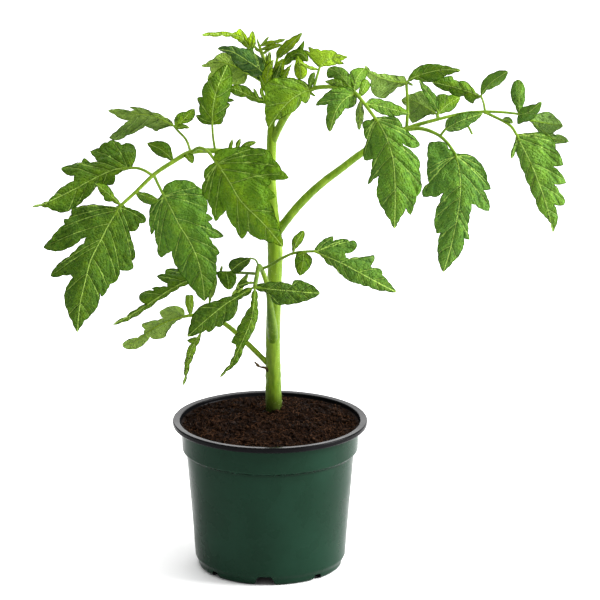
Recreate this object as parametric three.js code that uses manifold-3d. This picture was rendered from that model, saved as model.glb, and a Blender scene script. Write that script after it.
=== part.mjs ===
// A young tomato plant in a thermoformed grower pot. Millimetres, +Z up. The origin is the middle
// of the pot's flat base, on the surface that the pot stands on. The plant's front looks along -Y.
import * as THREE from "three";
import { mergeVertices } from "three/addons/utils/BufferGeometryUtils.js";
import Module from "manifold-3d";

const wasm = await Module();
wasm.setup();

// Driving dimensions
const RIM_DIAMETER = 130;
const POT_HEIGHT = 101;
const LIP_HEIGHT = 4.2;
const LIP_INNER_RADIUS = 59.8;
const COLLAR_RADIUS = 59.2;
const COLLAR_FOOT = 79.2; // height where the collar begins
const COLLAR_STEP = 1.8; // height of the shoulder there
const BODY_TOP_RADIUS = 56.1; // just under the collar
const BODY_FOOT_RADIUS = 50.3; // just over the foot
const FOOT_RADIUS = 48.7; // the foot stands in a little from the body
const FOOT_HEIGHT = 7.2;
const WALL = 1.4;
const FLOOR = 1.6;
const POT_SIDES = 42;
const GAPS = 8; // drain gaps round the foot, wide and narrow by turns
const FIRST_GAP_DEG = -94; // a wide one, a little left of the front
const WIDE_GAP = { width: 17, height: 6.5, depth: 18 };
const NARROW_GAP = { width: 9, height: 4, depth: 9 };
// Half the outline of a gap, from its foot to its roof, as shares of its width and height
const GAP_OUTLINE = [[0.5, 0], [0.42, 0.14], [0.33, 0.58], [0.26, 0.92], [0.2, 1]];
const DRAIN_RADIUS = 1.6;
const CLEARANCE = 0.3; // between pieces that touch
const SOIL_GAP = 0.5; // between the soil and the pot's wall, both many-sided
const SOIL_EDGE = 98.2; // height of the soil at the wall
const SOIL_CROWN = 2.2; // how far it is mounded in the middle
const CROWN_STEPS = 4;
const SOIL_SIDES = 36;
const BLADE = 0.9; // thickness of a leaflet
const STEM_SIDES = 12;
const STEM_STEPS = 22;

// The plant is laid out as it is seen from a standing point in front of it. A place in the layout
// is [x, v, y]: x across and v up as seen, and y the true depth, away from the viewer.
// One millimetre of x or v is one real millimetre at the distance SIGHT.
const EYE = new THREE.Vector3(20, -3000, 1050);
const SIGHT = 3140;
const LOOK_DOWN = THREE.MathUtils.degToRad(16.11);
const SIGHT_CENTRE = new THREE.Vector2(20, 174);
const STEM_DEPTH = 20; // of the stem, behind the pot's middle
const SPREAD = 1.8; // how much more than the layout's depth the leaves reach forward and back

// The true place of a point of the layout: where its line of sight reaches its spread depth.
function seen([x, v, y]) {
  const up = (v - SIGHT_CENTRE.y) / SIGHT;
  const right = (x - SIGHT_CENTRE.x) / SIGHT;
  const ray = new THREE.Vector3(
    right,
    Math.cos(LOOK_DOWN) + up * Math.sin(LOOK_DOWN),
    up * Math.cos(LOOK_DOWN) - Math.sin(LOOK_DOWN),
  );
  const depth = STEM_DEPTH + SPREAD * (y - STEM_DEPTH);
  return ray.multiplyScalar((depth - EYE.y) / ray.y).add(EYE);
}

// Solids

function solidFrom(points, triangles) {
  const vertProperties = new Float32Array(points.flatMap((p) => [p.x, p.y, p.z]));
  const triVerts = new Uint32Array(triangles.flat());
  return new wasm.Manifold(new wasm.Mesh({ numProp: 3, vertProperties, triVerts }));
}

function solidOf(geometry) {
  const bare = geometry.clone().deleteAttribute("normal").deleteAttribute("uv");
  const merged = mergeVertices(bare, 1e-4);
  const vertProperties = merged.attributes.position.array;
  const triVerts = new Uint32Array(merged.index.array);
  return new wasm.Manifold(new wasm.Mesh({ numProp: 3, vertProperties, triVerts }));
}

function geometryOf(solid) {
  const mesh = solid.getMesh();
  const geometry = new THREE.BufferGeometry();
  geometry.setAttribute("position", new THREE.BufferAttribute(mesh.vertProperties.slice(), 3));
  geometry.setIndex(new THREE.BufferAttribute(mesh.triVerts.slice(), 1));
  const flat = geometry.toNonIndexed();
  flat.computeVertexNormals();
  return flat;
}

const join = (solids) => solids.reduce((whole, next) => whole.add(next));

const SHORTEST_EDGE = 0.12;

// Closes up the tiny edges that a join leaves, where the surface stays closed and no face turns over.
function withoutSlivers(solid) {
  const mesh = solid.getMesh();
  const places = [];
  for (let i = 0; i < mesh.numVert; i += 1) {
    places.push(new THREE.Vector3().fromArray(mesh.vertProperties, i * mesh.numProp));
  }
  const triangles = [];
  for (let i = 0; i < mesh.triVerts.length; i += 3) {
    triangles.push([...mesh.triVerts.subarray(i, i + 3)]);
  }
  const around = places.map(() => new Set());
  triangles.forEach((triangle, k) => triangle.forEach((i) => around[i].add(k)));

  const neighbours = (i) =>
    new Set([...around[i]].flatMap((k) => triangles[k]).filter((j) => j !== i));
  const facing = ([a, b, c]) =>
    places[b].clone().sub(places[a]).cross(places[c].clone().sub(places[a]));

  function closeUp(from, to) {
    const beside = neighbours(to);
    if ([...neighbours(from)].filter((i) => beside.has(i)).length !== 2) return false;
    const moved = [];
    for (const k of around[from]) {
      if (triangles[k].includes(to)) continue;
      const next = triangles[k].map((i) => (i === from ? to : i));
      if (facing(next).dot(facing(triangles[k])) <= 0) return false;
      moved.push([k, next]);
    }
    for (const k of around[from]) {
      if (!triangles[k].includes(to)) continue;
      for (const i of triangles[k]) if (i !== from) around[i].delete(k);
      triangles[k] = null;
    }
    for (const [k, next] of moved) {
      triangles[k] = next;
      around[to].add(k);
    }
    around[from].clear();
    return true;
  }

  for (let from = 0; from < places.length; from += 1) {
    for (const to of neighbours(from)) {
      if (places[from].distanceTo(places[to]) < SHORTEST_EDGE && closeUp(from, to)) break;
    }
  }
  const used = [...new Set(triangles.filter(Boolean).flat())];
  const order = new Map(used.map((i, k) => [i, k]));
  return solidFrom(
    used.map((i) => places[i]),
    triangles.filter(Boolean).map((triangle) => triangle.map((i) => order.get(i))),
  );
}

// A round, tapering shoot through true places, closed at both ends.
function shoot(places, radii, sides, steps, grow = 0) {
  const curve = new THREE.CatmullRomCurve3(places, false, "centripetal");
  const frames = curve.computeFrenetFrames(steps, false);
  const taper = new THREE.CatmullRomCurve3(
    radii.map((r, i) => new THREE.Vector3(i / (radii.length - 1), r, 0)),
  );
  const points = [];
  for (let i = 0; i <= steps; i += 1) {
    const centre = curve.getPoint(i / steps);
    const radius = taper.getPoint(i / steps).y + grow;
    for (let k = 0; k < sides; k += 1) {
      const turn = (2 * Math.PI * k) / sides;
      points.push(
        centre
          .clone()
          .addScaledVector(frames.normals[i], radius * Math.cos(turn))
          .addScaledVector(frames.binormals[i], radius * Math.sin(turn)),
      );
    }
  }
  const triangles = [];
  for (let i = 0; i < steps; i += 1) {
    for (let k = 0; k < sides; k += 1) {
      const a = i * sides + k;
      const b = i * sides + ((k + 1) % sides);
      triangles.push([a, b, b + sides], [a, b + sides, a + sides]);
    }
  }
  for (let k = 1; k < sides - 1; k += 1) {
    triangles.push([0, k + 1, k]);
    triangles.push([steps * sides, steps * sides + k, steps * sides + k + 1]);
  }
  return solidFrom(points, triangles);
}

// Leaflets

// The midrib in the layout, with x and v as seen and the depth as its third number.
function midrib(leaflet) {
  const places = leaflet.rib.map(([x, v, y]) => new THREE.Vector3(x, v, y));
  return new THREE.CatmullRomCurve3(places, false, "centripetal");
}

// Depth of a point of the blade's edge: that of the nearest place on the midrib, and the blade's
// lean away from it.
function edgeDepth(line, [x, v], lean) {
  let nearest = null;
  let least = Infinity;
  for (const place of line) {
    const gap = Math.hypot(place.x - x, place.y - v);
    if (gap < least) {
      least = gap;
      nearest = place;
    }
  }
  return nearest.z + lean * least;
}

const RIB_STEPS = 5;

// A blade with its cut edges: two faces split alike, BLADE apart, and a wall round them.
function blade(leaflet) {
  const curve = midrib(leaflet);
  const fine = curve.getPoints(60);
  const rib = curve.getPoints(leaflet.rib.length < 4 ? 2 : RIB_STEPS);
  const lean = leaflet.lean ?? [0.15, 0.15];
  const layout = rib.map((p) => [p.x, p.y, p.z]);
  const last = rib.length - 1;
  const faces = [];
  const loops = [leaflet.one, leaflet.two].map((edge, side) => {
    const start = layout.length;
    for (const point of edge) layout.push([...point, edgeDepth(fine, point, lean[side])]);
    return edge.map((_, i) => start + i);
  });
  for (const loop of loops) {
    const ring = [0, ...loop, ...Array.from({ length: last }, (_, i) => last - i)];
    const flat = ring.map((i) => new THREE.Vector2(layout[i][0], layout[i][1]));
    for (const [a, b, c] of THREE.ShapeUtils.triangulateShape(flat, [])) {
      faces.push([ring[a], ring[b], ring[c]]);
    }
  }
  const places = layout.map(seen);
  const lie = new THREE.Vector3();
  for (const [a, b, c] of faces) {
    const ab = places[b].clone().sub(places[a]);
    lie.add(ab.cross(places[c].clone().sub(places[a])));
  }
  lie.normalize().multiplyScalar(BLADE / 2);
  const count = places.length;
  const points = places.map((p) => p.clone().add(lie));
  points.push(...places.map((p) => p.clone().sub(lie)));
  const outline = [0, ...loops[0], last, ...loops[1].toReversed()];
  const flatOutline = outline.map((i) => new THREE.Vector2(layout[i][0], layout[i][1]));
  if (THREE.ShapeUtils.area(flatOutline) < 0) outline.reverse();
  const triangles = [];
  for (const [a, b, c] of faces) triangles.push([a, b, c], [a + count, c + count, b + count]);
  outline.forEach((a, i) => {
    const b = outline[(i + 1) % outline.length];
    triangles.push([a, a + count, b + count], [a, b + count, b]);
  });
  return solidFrom(points, triangles);
}

const STALK_SIDES = 4;
const SHOOT_SIDES = 6;
const STALK_IN_BLADE = 4; // how far a stalk runs on inside its blade
const STALK_END = 0.6; // radius

function stalk(leaflet) {
  const curve = midrib(leaflet);
  const sunk = Math.min(0.35, STALK_IN_BLADE / curve.getLength());
  const inBlade = [0, sunk].map((t) => {
    const p = curve.getPoint(t);
    return [p.x, p.y, p.z];
  });
  const route = [...(leaflet.stalk ?? []), ...inBlade].map(seen);
  const root = leaflet.root ?? 0.9;
  return shoot(route, [root, root * 0.85, STALK_END], STALK_SIDES, 2 * route.length - 2);
}

function frond({ shoots, leaflets }) {
  const pieces = shoots.map(({ route, radii }) =>
    shoot(route.map(seen), radii, SHOOT_SIDES, Math.round(route.length * 1.4)),
  );
  for (const leaflet of leaflets) pieces.push(blade(leaflet), stalk(leaflet));
  return join(pieces);
}

// The plant's layout

const STEM = {
  route: [
    [2.6, 60, 22], [2.5, 101, 20.3], [2.2, 122, 20], [2, 150, 20], [3, 185, 20], [3.4, 205, 20],
    [1.7, 235, 20], [0.5, 258, 20], [1, 278, 20], [0.9, 292, 20], [0.2, 303, 20],
  ],
  radii: [4, 5.4, 5.3, 4.8, 4.9, 5.1, 3.8, 3.3, 3.3, 2.3, 1.9],
};

const DRIED_STUB = {
  shoots: [
    {
      route: [[-1, 127, 18.5], [-3.5, 129, 17.5], [-6.5, 129.4, 17], [-10.5, 132.8, 16.5]],
      radii: [1, 0.8, 1, 0.6],
    },
  ],
  leaflets: [],
};

// The leaf that spreads to the left.
const LEAF_LEFT = {
  shoots: [
    {
      route: [
        [0, 259, 20], [-5, 264, 17], [-16, 270.5, 13], [-37, 273.5, 10], [-53, 272.5, 8],
        [-65, 266, 6], [-77.5, 257.5, 4], [-89.5, 246, 2], [-99.5, 237, 0],
      ],
      radii: [2.3, 2, 1.7, 1.4, 1.1],
    },
  ],
  leaflets: [
    {
      // The broad one in front of the stem
      stalk: [[-52, 273, 7.5], [-47, 275.5, 5], [-41, 272.5, 2]],
      rib: [[-36, 266, 0], [-28, 254.5, -3], [-19.3, 240, -6], [-4.3, 225, -8], [8.8, 209.5, -8]],
      one: [
        [-37.5, 270], [-35.5, 273.5], [-25, 275.5], [-10, 275.3], [-1, 274], [2, 268], [8, 260.5],
        [12.7, 255.5], [6, 254], [-1.5, 254.8], [1, 252.5], [-3.5, 249.5], [4, 243], [-3, 240.8],
        [1, 237], [3.5, 230], [6, 222], [8, 216],
      ],
      two: [
        [-38.5, 265], [-41.5, 263], [-44, 259], [-43.5, 254], [-46, 249], [-42, 241], [-39, 235],
        [-37.5, 230], [-36, 226.5], [-33, 230], [-29.5, 233.5], [-27, 227.5], [-23, 222],
        [-18.7, 214.5], [-15, 219.7], [-9, 215.5], [-4, 214], [3, 212],
      ],
      lean: [0.08, 0.25],
      root: 1.2,
    },
    {
      // The one that hangs beside it
      stalk: [[-77.5, 257.5, 4], [-74.5, 251, 5]],
      rib: [
        [-71.5, 245, 6], [-66, 235, 7], [-61, 225, 8], [-53, 212, 9], [-48, 200, 9], [-45, 187, 8],
        [-43.5, 173, 6],
      ],
      one: [
        [-70.5, 250], [-66, 253], [-60, 254], [-53, 253], [-49, 250], [-44, 246], [-42, 240],
        [-41.5, 236], [-42.5, 231.5], [-38, 228.5], [-41, 226], [-38, 222], [-30.5, 216.5],
        [-34, 215], [-40.5, 215.5], [-38, 211], [-33.5, 206], [-35.5, 204], [-36, 198],
        [-35.5, 194], [-37, 187], [-40, 180],
      ],
      two: [
        [-74, 242], [-79, 238], [-80.5, 230], [-80, 222], [-79, 217.5], [-76.5, 221.5],
        [-76.5, 215], [-75, 210], [-74.5, 204], [-72.5, 202], [-69, 204.5], [-65.5, 206.5],
        [-64.5, 201], [-62, 196], [-56, 188], [-50, 180], [-46, 175],
      ],
      lean: [0.15, 0.12],
      root: 1.1,
    },
    {
      rib: [[-89.5, 246, 2], [-82, 243, 1], [-74.5, 240.5, -0.5]],
      one: [[-85, 245.8], [-80, 244.5], [-76.5, 242.5]],
      two: [[-88.5, 243], [-86, 240], [-82, 238], [-78, 237.5]],
      root: 0.7,
    },
    {
      // The leaflet at the end, with deep lobes on its left
      rib: [
        [-99, 238, 0], [-107, 225, -3], [-113.5, 212.5, -6], [-119.5, 200.5, -9], [-123, 187, -11],
        [-126.5, 172, -12], [-128.5, 152.5, -12],
      ],
      one: [
        [-103, 236], [-107, 235.3], [-114, 237.3], [-122, 237.3], [-128, 236], [-132, 235.5],
        [-132.5, 231], [-134.5, 228], [-137.5, 228], [-137, 224.5], [-142, 220], [-146, 215],
        [-149, 212], [-151, 208.8], [-146, 207], [-141, 206.5], [-135, 208.5], [-130, 211],
        [-126, 214.5], [-122.5, 216], [-124, 212], [-130, 207], [-134, 203], [-139, 200],
        [-143, 196], [-146.5, 190], [-143, 189], [-138, 190.5], [-133, 190.8], [-131.5, 189],
        [-134, 185.5], [-136.5, 180], [-137, 174], [-135, 167], [-132, 160], [-130, 155],
      ],
      two: [
        [-96, 236], [-92, 234.5], [-86, 232], [-83.5, 230], [-82.5, 227], [-83.5, 225.5],
        [-87, 225], [-88, 222], [-90, 220], [-94.5, 220], [-93, 215], [-90.5, 208], [-90, 202],
        [-92, 200], [-91, 195.5], [-93, 194], [-97, 193.5], [-100, 194], [-101, 189],
        [-103, 186], [-106.5, 184.5], [-108.5, 181], [-112, 176], [-113.5, 178.5], [-114, 173],
        [-116, 168], [-119, 164.5], [-124, 160], [-127, 155],
      ],
      lean: [0.2, 0.2],
      root: 1.1,
    },
    {
      rib: [[-99.2, 237.2, 0], [-109, 246, -2], [-116.5, 251.5, -3]],
      one: [[-103.5, 243], [-105.5, 247], [-108.5, 250.5], [-112, 251.8]],
      two: [[-105, 239.5], [-110, 240], [-111, 243], [-115, 249]],
      lean: [0.3, 0.1],
      root: 0.8,
    },
    {
      // The one that points away to the left, seen from above
      stalk: [[-79, 257.5, 4], [-84, 260.5, 5], [-89, 262, 6]],
      rib: [
        [-93, 262, 7], [-103, 261, 9], [-112, 257.5, 10], [-119, 254, 10], [-128, 249, 9],
        [-140, 243, 7], [-150, 238.5, 5], [-159, 236.3, 3],
      ],
      one: [
        [-90.5, 265], [-89, 270], [-90, 276], [-93, 278.7], [-99, 277.7], [-103, 280],
        [-105, 280.5], [-108, 278.5], [-111, 278], [-114, 275.5], [-116, 275.5], [-120, 273],
        [-117, 269.5], [-115.5, 267], [-120, 266], [-123.5, 268], [-125.5, 265], [-133, 264.5],
        [-137, 263.5], [-139.5, 261.5], [-137, 259], [-134, 257.5], [-130.5, 256.5],
        [-131, 253.5], [-137, 250], [-141, 247.5], [-144, 243.5], [-148, 240], [-153, 238.3],
      ],
      two: [
        [-99, 260.3], [-103, 257], [-104.5, 251], [-110, 251], [-116, 249.5], [-118, 246],
        [-124, 241], [-129, 237], [-133, 234.5], [-137, 232], [-142, 233], [-148, 235.5],
        [-153, 237],
      ],
      lean: [0.6, -0.2],
      root: 1.1,
    },
    {
      // Three at the back, seen from below
      stalk: [[-53, 273, 8], [-56, 281, 12], [-61.5, 287, 14]],
      rib: [[-64, 290, 15], [-75, 296, 18], [-88, 298, 22], [-99, 299, 25], [-108, 300.5, 27]],
      one: [
        [-66, 294], [-70, 295.8], [-78, 299.5], [-84, 302], [-94, 302.5], [-88, 300.7],
        [-93, 300], [-99, 301.3], [-104, 301.2],
      ],
      two: [
        [-68, 290], [-71, 290.2], [-73, 288.5], [-75, 286.5], [-79, 288], [-83, 290],
        [-87, 287.5], [-95, 284], [-100, 281], [-107.5, 281.8], [-102, 287], [-98, 290.5],
        [-94, 293.8], [-100, 295], [-104, 298],
      ],
      lean: [0.3, 0.35],
      under: true,
    },
    {
      rib: [[-62.5, 289, 14.5], [-57, 295, 18], [-50.5, 301.8, 22]],
      one: [[-64, 294], [-61, 298.5], [-56, 299.5]],
      two: [[-58, 291.7], [-53, 293], [-50, 297]],
      root: 0.7,
    },
    {
      rib: [[-62, 288.5, 14.3], [-58, 290, 12], [-53.5, 288.6, 9]],
      one: [[-61, 291.3], [-57.5, 291.3]],
      two: [[-60, 287.8], [-57, 288.3]],
      root: 0.6,
    },
    {
      // The one that stands upright
      stalk: [[-36.5, 273.5, 10], [-38, 283, 9]],
      rib: [[-38.5, 291, 8], [-38, 302, 7], [-35.5, 314, 8], [-31, 325, 11], [-28.3, 331, 13]],
      one: [
        [-42, 291], [-45, 291.5], [-49.5, 297], [-46.5, 297.5], [-47, 304], [-48.5, 309],
        [-45, 309.5], [-45, 315], [-42, 319.5], [-38, 323.5], [-33.5, 328.5],
      ],
      two: [
        [-35.5, 291], [-32.5, 291.3], [-31, 295], [-29, 301], [-26.5, 304.5], [-28.5, 305.5],
        [-23.5, 307.2], [-27.5, 308.5], [-26, 314], [-25.5, 320], [-26, 327],
      ],
      lean: [0.2, 0.15],
    },
    {
      rib: [[-65, 266.5, 6], [-67.5, 270, 7], [-73, 274.5, 9], [-82, 278.5, 12]],
      one: [[-65.5, 273], [-67, 277], [-70, 279.3], [-74, 280], [-78, 279.5]],
      two: [[-69, 268.5], [-73, 269.5], [-77, 272], [-80, 275.5]],
      root: 0.7,
    },
    {
      rib: [[-55.5, 271.5, 7], [-53.5, 268, 4], [-52, 265, 2]],
      one: [[-51, 271], [-50.5, 268], [-51, 265.8]],
      two: [[-57.5, 270.3], [-55.5, 268], [-53.5, 266]],
      root: 0.7,
    },
    {
      rib: [[-26.5, 272, 12], [-26.3, 277, 12.5], [-25, 281.5, 13]],
      one: [[-27.8, 276]],
      two: [[-25, 276.5]],
      root: 0.7,
    },
    {
      rib: [[-22, 271, 12.5], [-21.5, 277, 13], [-19.5, 281.7, 14]],
      one: [[-23, 276], [-22, 280]],
      two: [[-20.5, 276]],
      root: 0.7,
    },
    {
      rib: [[-19, 270.5, 13], [-16, 277, 14], [-9, 279.3, 15]],
      one: [[-20, 275], [-17, 278.8], [-13, 280]],
      two: [[-15.5, 273.5], [-13, 276.5]],
      root: 0.7,
    },
  ],
};

// The leaf that spreads to the right.
const LEAF_RIGHT = {
  shoots: [
    {
      route: [
        [3, 216, 20], [9, 224.5, 20], [20, 238, 20.5], [33, 250.5, 21], [48, 262, 22],
        [62.7, 273, 23], [78, 282.5, 24], [91, 288.3, 25],
      ],
      radii: [3, 2.8, 2.4, 1.9],
    },
    {
      route: [
        [89, 287.5, 25], [100, 291.3, 25], [112, 294.5, 25], [122, 297, 26], [132, 299, 26],
        [143.5, 299.7, 26],
      ],
      radii: [1.6, 1.1, 0.9],
    },
    {
      route: [[91, 287, 25], [91.7, 300, 27], [91.5, 310, 29], [90.8, 319.5, 31]],
      radii: [1.2, 1],
    },
    {
      route: [
        [90, 287.6, 25], [100, 288.3, 23], [107, 286.5, 21], [113, 283.5, 20], [118, 279, 19],
        [123.5, 271.5, 17],
      ],
      radii: [1.5, 1.2, 1],
    },
    {
      route: [[142, 299.7, 26], [150, 296, 25], [157, 292.5, 23], [161, 289.5, 22], [165, 283.3, 20.8]],
      radii: [1, 1],
    },
    { route: [[142.5, 299.7, 26], [155, 299.2, 26], [166, 298, 26]], radii: [1, 0.8] },
    { route: [[143.5, 298, 26], [142.5, 305, 28], [140.5, 310.5, 29]], radii: [0.9, 0.7] },
    { route: [[165, 298, 26], [170, 295.5, 28], [175.5, 292.3, 30.4]], radii: [0.8, 0.75] },
    {
      route: [[131, 299.3, 26], [130.5, 292, 27.5], [133, 288.3, 27], [134.7, 284.5, 26]],
      radii: [0.7, 0.8],
    },
  ],
  leaflets: [
    {
      rib: [[91, 319, 31], [82, 320, 30], [72, 323, 27], [65, 327, 24], [63, 330.5, 23]],
      one: [[90, 323], [86, 323.5], [80, 324], [72, 324.8], [67, 326.7], [65, 329.5]],
      two: [
        [88.5, 316.5], [85, 316], [80, 311], [77, 307.8], [70, 310], [67, 315], [67.5, 320],
        [64, 325],
      ],
      lean: [0.3, 0.2],
      under: true,
    },
    {
      rib: [[91, 319.3, 31], [93, 318.3, 30], [95.7, 317, 29]],
      one: [[93.3, 319.2]],
      two: [[93, 317.2]],
      root: 0.6,
    },
    {
      rib: [[91.2, 319.5, 31], [95, 322, 31], [103, 325, 31], [115, 327.5, 28], [127.3, 327, 25]],
      one: [[94.5, 325.5], [98, 329], [103, 331], [109, 331.3], [115, 330.3], [122, 328.7]],
      two: [[96, 321], [99, 320.5], [104, 319.3], [109, 319.7], [114, 322], [118, 324], [123, 325.5]],
      lean: [0.35, 0.1],
      root: 0.8,
    },
    {
      rib: [[140.5, 309.5, 29], [132, 313, 30], [122, 316, 32], [108, 319.3, 34]],
      one: [
        [137, 312.5], [134, 316.5], [130, 320], [126, 319.8], [122.5, 320.8], [121.5, 323.3],
        [116, 322.5], [111, 320.8],
      ],
      two: [
        [138.5, 308], [136.5, 308], [135.5, 304.8], [132, 306.5], [129, 310], [124, 310],
        [119, 313], [113, 315],
      ],
      lean: [0.35, 0.1],
    },
    {
      rib: [[140.5, 310, 29], [142.5, 313.5, 28], [148, 319.5, 25], [158.5, 326.5, 20]],
      one: [[141, 318], [144, 322.5], [149, 325.5], [154, 327.2]],
      two: [[144.5, 314], [150, 316], [155, 319.5], [158, 323.5]],
      lean: [0.3, 0.1],
      root: 0.8,
    },
    {
      stalk: [[111.5, 294.4, 25], [111.5, 296, 27]],
      rib: [[111, 298, 30], [103, 303, 34], [95, 307, 38], [87.5, 307, 40]],
      one: [[107, 307], [104, 313], [101, 313.5], [96, 311.8], [91, 310]],
      two: [[107, 297.5], [103, 297], [99, 293.5], [95, 291.7], [93, 296], [91, 303]],
      lean: [0.4, 0.1],
      under: true,
    },
    {
      stalk: [[112.5, 294.6, 25], [112.2, 296, 27]],
      rib: [[112, 298, 29], [118, 304, 34], [127, 309.5, 38]],
      one: [[110, 304], [112, 311], [119, 310.7]],
      two: [[117, 299], [121, 300], [125, 305]],
      lean: [0.3, 0.1],
    },
    {
      stalk: [[112, 294.5, 25], [111.5, 297, 26.5]],
      rib: [[112, 299, 27], [108, 308, 26], [103, 315, 25], [99.5, 320.5, 26]],
      one: [[108.5, 302], [105, 308], [102, 313], [100, 318]],
      two: [[112.5, 303], [111.5, 309], [108, 313], [103, 318]],
      lean: [-0.1, 0.2],
    },
    {
      stalk: [[113.5, 283.5, 20]],
      rib: [[117, 288, 19], [127, 293.5, 18], [142, 298.4, 19]],
      one: [[117.5, 294], [123, 296.5], [129, 298.7], [136, 299.2]],
      two: [[118.5, 286.3], [123, 286.3], [129, 288], [134, 291.5], [139, 295]],
      lean: [0.1, 0.1],
    },
    {
      // The broad one that hangs
      rib: [
        [123.5, 271.5, 17], [126, 262, 14], [127, 252, 12], [126.5, 240, 11], [124, 225, 11],
        [120, 207, 12], [115.5, 192.5, 13],
      ],
      one: [
        [119, 275], [116, 279.5], [110, 279.7], [106, 279], [105, 274], [105.3, 268],
        [104.8, 262], [105, 256], [106, 252], [101.5, 247.5], [102, 243], [107, 243.5],
        [110.5, 242.7], [114, 245], [115.5, 245.5], [113, 239], [110, 230], [109.3, 225.5],
        [110.5, 221], [111, 218.5], [113.5, 218.7], [112, 211], [112, 204], [113, 198],
      ],
      two: [
        [127, 271.5], [134, 270.3], [139, 266.5], [143, 261], [145, 253.5], [147.3, 247.8],
        [142.5, 247], [145, 242], [146.5, 238], [146, 233], [141, 234.5], [137, 237.5],
        [134.5, 238], [133, 231], [132, 224], [132, 219], [133, 214.5], [129.5, 215],
        [129, 210], [127.5, 206], [122, 199.5], [118, 195],
      ],
      lean: [0.12, 0.15],
      root: 1,
    },
    {
      rib: [[155, 294, 24], [158, 294.5, 20.5], [162, 291.7, 17.8]],
      one: [[156, 295.8], [159.5, 296], [161.5, 294]],
      two: [[158.5, 292.3]],
      root: 0.7,
    },
    {
      // The outermost, hanging
      rib: [
        [164.5, 284.5, 21], [168, 277, 18], [174, 265, 15], [180, 250, 13], [185, 235, 12],
        [188.7, 219, 12],
      ],
      one: [
        [168, 285], [174, 285], [180, 286], [185, 283.5], [190, 279], [190.5, 275],
        [195.5, 264], [189, 263], [193, 259.5], [197.5, 252], [189.5, 251], [193, 246],
        [197, 240], [195.5, 237], [189.5, 237.5], [191.5, 232], [191.5, 226], [190, 222],
      ],
      two: [
        [163.5, 281], [164, 274], [166, 268], [170, 258], [173, 250], [177, 241], [178, 236.5],
        [182, 231], [185, 228], [187.3, 225], [188, 221],
      ],
      lean: [0.15, 0.1],
      root: 1,
    },
    {
      rib: [[165.6, 283, 20.6], [162.6, 274, 17.5], [161, 268, 16]],
      one: [[162, 276], [160.5, 272]],
      two: [[163.5, 272]],
      root: 0.6,
    },
    {
      rib: [[166, 298, 26], [166.2, 304, 27], [166, 311, 27], [166, 321, 28]],
      one: [[163.5, 303.5], [160.5, 310], [161, 316], [163, 320]],
      two: [[169, 304], [170, 311], [169, 318]],
      lean: [0.2, 0.2],
      root: 0.8,
    },
    {
      rib: [[165.5, 297.5, 26], [172, 299, 24], [181, 306.3, 22]],
      one: [[167, 301.5], [172, 303.5], [177, 304.5]],
      two: [[165, 291.3], [169, 292.5], [174, 294], [178, 298], [180.5, 302]],
      lean: [0.2, 0.1],
      root: 0.8,
    },
    {
      rib: [[173, 293.8, 29.4], [184, 292, 30], [195.5, 290, 28]],
      one: [[177, 297], [181, 299], [186, 299.5], [191, 295.5]],
      two: [[177.5, 290], [181, 286.3], [186, 284.5], [191, 287]],
      lean: [0.3, 0.2],
      under: true,
      root: 0.8,
    },
    {
      rib: [[174.5, 292.8, 30], [181, 288, 31], [189, 281.5, 30], [199.5, 279.7, 28]],
      one: [[184, 287.3], [190, 284.3], [194, 284.2]],
      two: [[178, 287.5], [184, 282.5], [189, 278.6], [194, 278.3]],
      under: true,
      root: 0.7,
    },
  ],
};

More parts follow.
